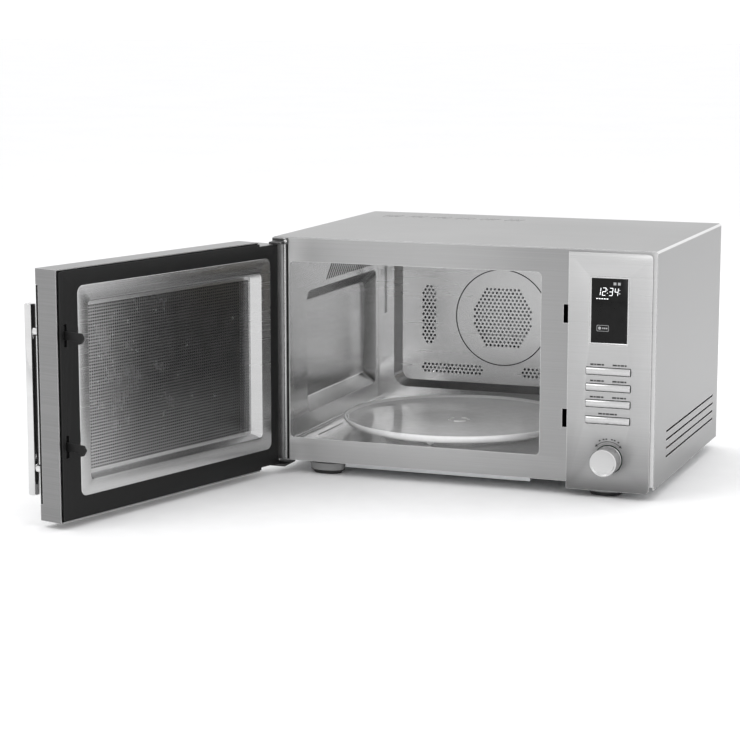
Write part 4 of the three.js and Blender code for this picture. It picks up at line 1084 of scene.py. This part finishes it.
def inner_trim():
    plate = upright(rounded(-2, 405, 10.5, 310.5, 2.5), 3.4, 5.5)
    hole_outline = rounded(13.6, 374.9, 35.6, 291.4, 9.0)
    cuts = [upright(hole_outline, 0, 8), *notches()]
    cuts += [block(393.6, 399.4, 0, 8, z0 - 2, z1 + 2) for z0, z1 in SLOTS]
    for cut in cuts:
        plate = combined(plate, [cut])
    return softened(plate, 0.45, 2, 60)


def pan_body():
    """Steel inner pan: flat rim, rounded fold and sloped sides, all one bent sheet."""
    def ring(x0, x1, z0, z1, radius, y):
        return at_y(rounded(x0, x1, z0, z1, radius, 6), y)

    rim = (14.0, 374.5, 36.0, 291.0)
    mouth = (33.0, 357.5, 54.0, 272.0)

    def inset(by):
        return (mouth[0] + by, mouth[1] - by, mouth[2] + by, mouth[3] - by)

    loops = [ring(*rim, 9.0, 4.7), ring(*rim, 9.0, 5.35),
             ring(rim[0] + 0.35, rim[1] - 0.35, rim[2] + 0.35, rim[3] - 0.35, 8.7, 5.7),
             ring(*inset(-0.8), 6.6, 5.7), ring(*inset(-0.1), 6.2, 5.45), ring(*inset(0.3), 6.0, 4.9),
             ring(*inset(3.7), 4.4, -8.6), ring(*inset(4.2), 4.0, -9.2), ring(*inset(5.2), 3.6, -9.3),
             ring(*inset(8.0), 2.0, -9.3), ring(*inset(8.0), 2.0, -10.1), ring(*inset(3.8), 4.4, -10.1),
             ring(*inset(2.8), 5.0, -8.8), ring(*inset(-0.7), 6.4, 4.2), ring(*inset(-1.2), 7.0, 4.7)]
    return loft(loops, closed=True)


def perforated_field(x0, x1, z0, z1, y_front, y_back, pitch, radius, sides=8):
    """Sheet of square cells, each with a round hole through it."""
    columns, rows = round((x1 - x0) / pitch), round((z1 - z0) / pitch)
    px, pz = (x1 - x0) / columns, (z1 - z0) / rows
    verts, faces = [], []
    layer_size = (columns + 1) * (rows + 1) + columns * rows * sides
    for y in (y_front, y_back):
        verts += [(x0 + i * px, y, z0 + j * pz) for j in range(rows + 1) for i in range(columns + 1)]
        for j in range(rows):
            for i in range(columns):
                cx, cz = x0 + (i + 0.5) * px, z0 + (j + 0.5) * pz
                verts += [(cx + radius * math.cos(a), y, cz + radius * math.sin(a))
                          for a in (2 * math.pi * (k + 1) / sides for k in range(sides))]
    corner_count = (columns + 1) * (rows + 1)
    eighth = sides // 4

    def corner(i, j):
        return j * (columns + 1) + i

    for j in range(rows):
        for i in range(columns):
            first = corner_count + (j * columns + i) * sides
            ring_verts = [first + k for k in range(sides)]
            cell = [corner(i + 1, j + 1), corner(i, j + 1), corner(i, j), corner(i + 1, j)]
            for side in range(4):
                a, b = cell[side], cell[(side + 1) % 4]
                arc = [ring_verts[(side * eighth + k) % sides] for k in range(eighth + 1)]
                faces.append((b, a, *arc))
                faces.append(tuple(layer_size + v for v in (*reversed(arc), a, b)))
            for k in range(sides):
                a, b = ring_verts[k], ring_verts[(k + 1) % sides]
                faces.append((a, b, layer_size + b, layer_size + a))
    border = [corner(i, 0) for i in range(columns)] + [corner(columns, j) for j in range(rows)]
    border += [corner(i, rows) for i in range(columns, 0, -1)] + [corner(0, j) for j in range(rows, 0, -1)]
    for a, b in zip(border, border[1:] + border[:1]):
        faces.append((b, a, layer_size + a, layer_size + b))
    mesh = bpy.data.meshes.new("shape")
    mesh.from_pydata(verts, [], faces)
    return mesh


def latch_hooks():
    bar = block(391, 402, -4.5, 2.6, 84, 246, 1.0, 2)
    hooks = []
    for z0, _ in SLOTS:
        z = z0 + 3
        side = [(0, z + 4), (26, z + 4), (27, z), (32, z + 1.5), (36.5, z + 8), (33, z + 14), (0, z + 15)]
        hooks.append(softened(sideways(side, 395.3, 397.7), 0.5, 2))
    return merge(bar, *hooks)


def bar_handle():
    half = HANDLE_LENGTH / 2
    profile = [(0, -half), (5.2, -half), (6.4, -half + 0.5), (7, -half + 1.7), (7, half - 1.7), (6.4, half - 0.5),
               (5.2, half), (0, half)]
    return lathe(profile, 64, (*HANDLE, HANDLE_MIDDLE))


def handle_stem(side):
    z = HANDLE_MIDDLE + side * STEM_OFFSET
    profile = [(0, -55.2), (4.4, -55.2), (5.0, -54.4), (5.0, -33.6), (6.6, -33.2), (7.0, -32.6), (7.0, -30.9),
               (6.6, -30.6), (5.0, -30.5), (5.0, -27.1), (0, -27.1)]
    return lathe(profile, 48, (HANDLE[0], 0, z), "y")


piece("door_case", door_case(), door_case_painted_dark, "door", DOOR, ("door_shell",))
piece("door_front_glass", door_glass(), gloss_black, "door", DOOR, ("door_glass",))
piece("door_inner_trim", inner_trim(), black_plastic, "door", DOOR, ("door_inner_frame",))
piece("door_pan", pan_body(), pan_steel, "door", DOOR, ("door_screen",))
piece("door_pan_mesh", perforated_field(40.8, 349.7, 61.8, 264.2, -9.35, -10.05, 3.8, 1.15), mesh_steel, "door",
      DOOR)
piece("latch_hooks", latch_hooks(), black_plastic, "latch", DOOR, ("door_latch",))
piece("door_handle", bar_handle(), handle_chrome, "door", DOOR, ("handle_bar",))
for name, side in (("upper", 1), ("lower", -1)):
    piece("handle_stem_" + name, handle_stem(side), handle_chrome, "door", DOOR, ("handle_post_" + name,))


# ---------- floor, light and camera ----------

def floor():
    half = 30.0
    mesh = mesh_from([(-half, -half, 0), (half, -half, 0), (half, half, 0), (-half, half, 0)], [(0, 1, 2, 3)])
    obj = bpy.data.objects.new("floor", mesh)
    mesh.materials.append(surface("floor_white", grey(0.9), grey(0.94), (0.6, 0.75), 0.0, (1, 1, 1), 30, 3, 0.02,
                                  0.0001, 2.0))
    scene.collection.objects.link(obj)
    obj.location.z = -0.0004


def area_light(name, place, target, size, power):
    data = bpy.data.lights.new(name, "AREA")
    data.shape = "RECTANGLE"
    data.size, data.size_y = size
    data.energy = power
    obj = bpy.data.objects.new(name, data)
    scene.collection.objects.link(obj)
    obj.location = place
    obj.rotation_euler = (Vector(target) - Vector(place)).to_track_quat("-Z", "Y").to_euler()
    return data


def studio():
    world = bpy.data.worlds.new("studio")
    scene.world = world
    world.use_nodes = True
    nodes, link = world.node_tree.nodes, world.node_tree.links.new
    background = nodes["Background"]
    gradient = nodes.new("ShaderNodeValToRGB")
    split = nodes.new("ShaderNodeSeparateXYZ")
    link(nodes.new("ShaderNodeTexCoord").outputs["Generated"], split.inputs["Vector"])
    link(split.outputs["Z"], gradient.inputs["Fac"])
    gradient.color_ramp.elements[0].position = 0.0
    gradient.color_ramp.elements[0].color = (1.0, 1.0, 1.0, 1)
    gradient.color_ramp.elements[1].position = 0.9
    gradient.color_ramp.elements[1].color = (0.85, 0.85, 0.86, 1)
    link(gradient.outputs["Color"], background.inputs["Color"])
    background.inputs["Strength"].default_value = 1.2
    area_light("key_light", (-1.4, -1.8, 2.4), (0.05, 0, 0.1), (1.8, 1.2), 20)
    area_light("fill_light", (2.2, -1.4, 1.5), (0.1, 0, 0.15), (1.2, 1.6), 8)
    area_light("top_light", (0.2, 0.8, 2.6), (0.1, 0.1, 0.1), (1.8, 1.4), 12)
    inside = area_light("cavity_light", (0.5, -1.5, 0.5), (0.04, 0.2, 0.13), (0.5, 0.4), 0.055)
    inside.spread = math.radians(26)


def camera():
    data = bpy.data.cameras.new("camera")
    data.sensor_width = 36.0
    data.lens = 107.94
    data.clip_start, data.clip_end = 0.05, 200
    obj = bpy.data.objects.new("camera", data)
    scene.collection.objects.link(obj)
    obj.location = (0.9748, -2.6885, 0.6246)
    obj.rotation_euler = (math.pi / 2 - 0.1652, 0, 0.3602)
    scene.camera = obj


floor()
studio()
camera()
scene.view_settings.view_transform = "Standard"
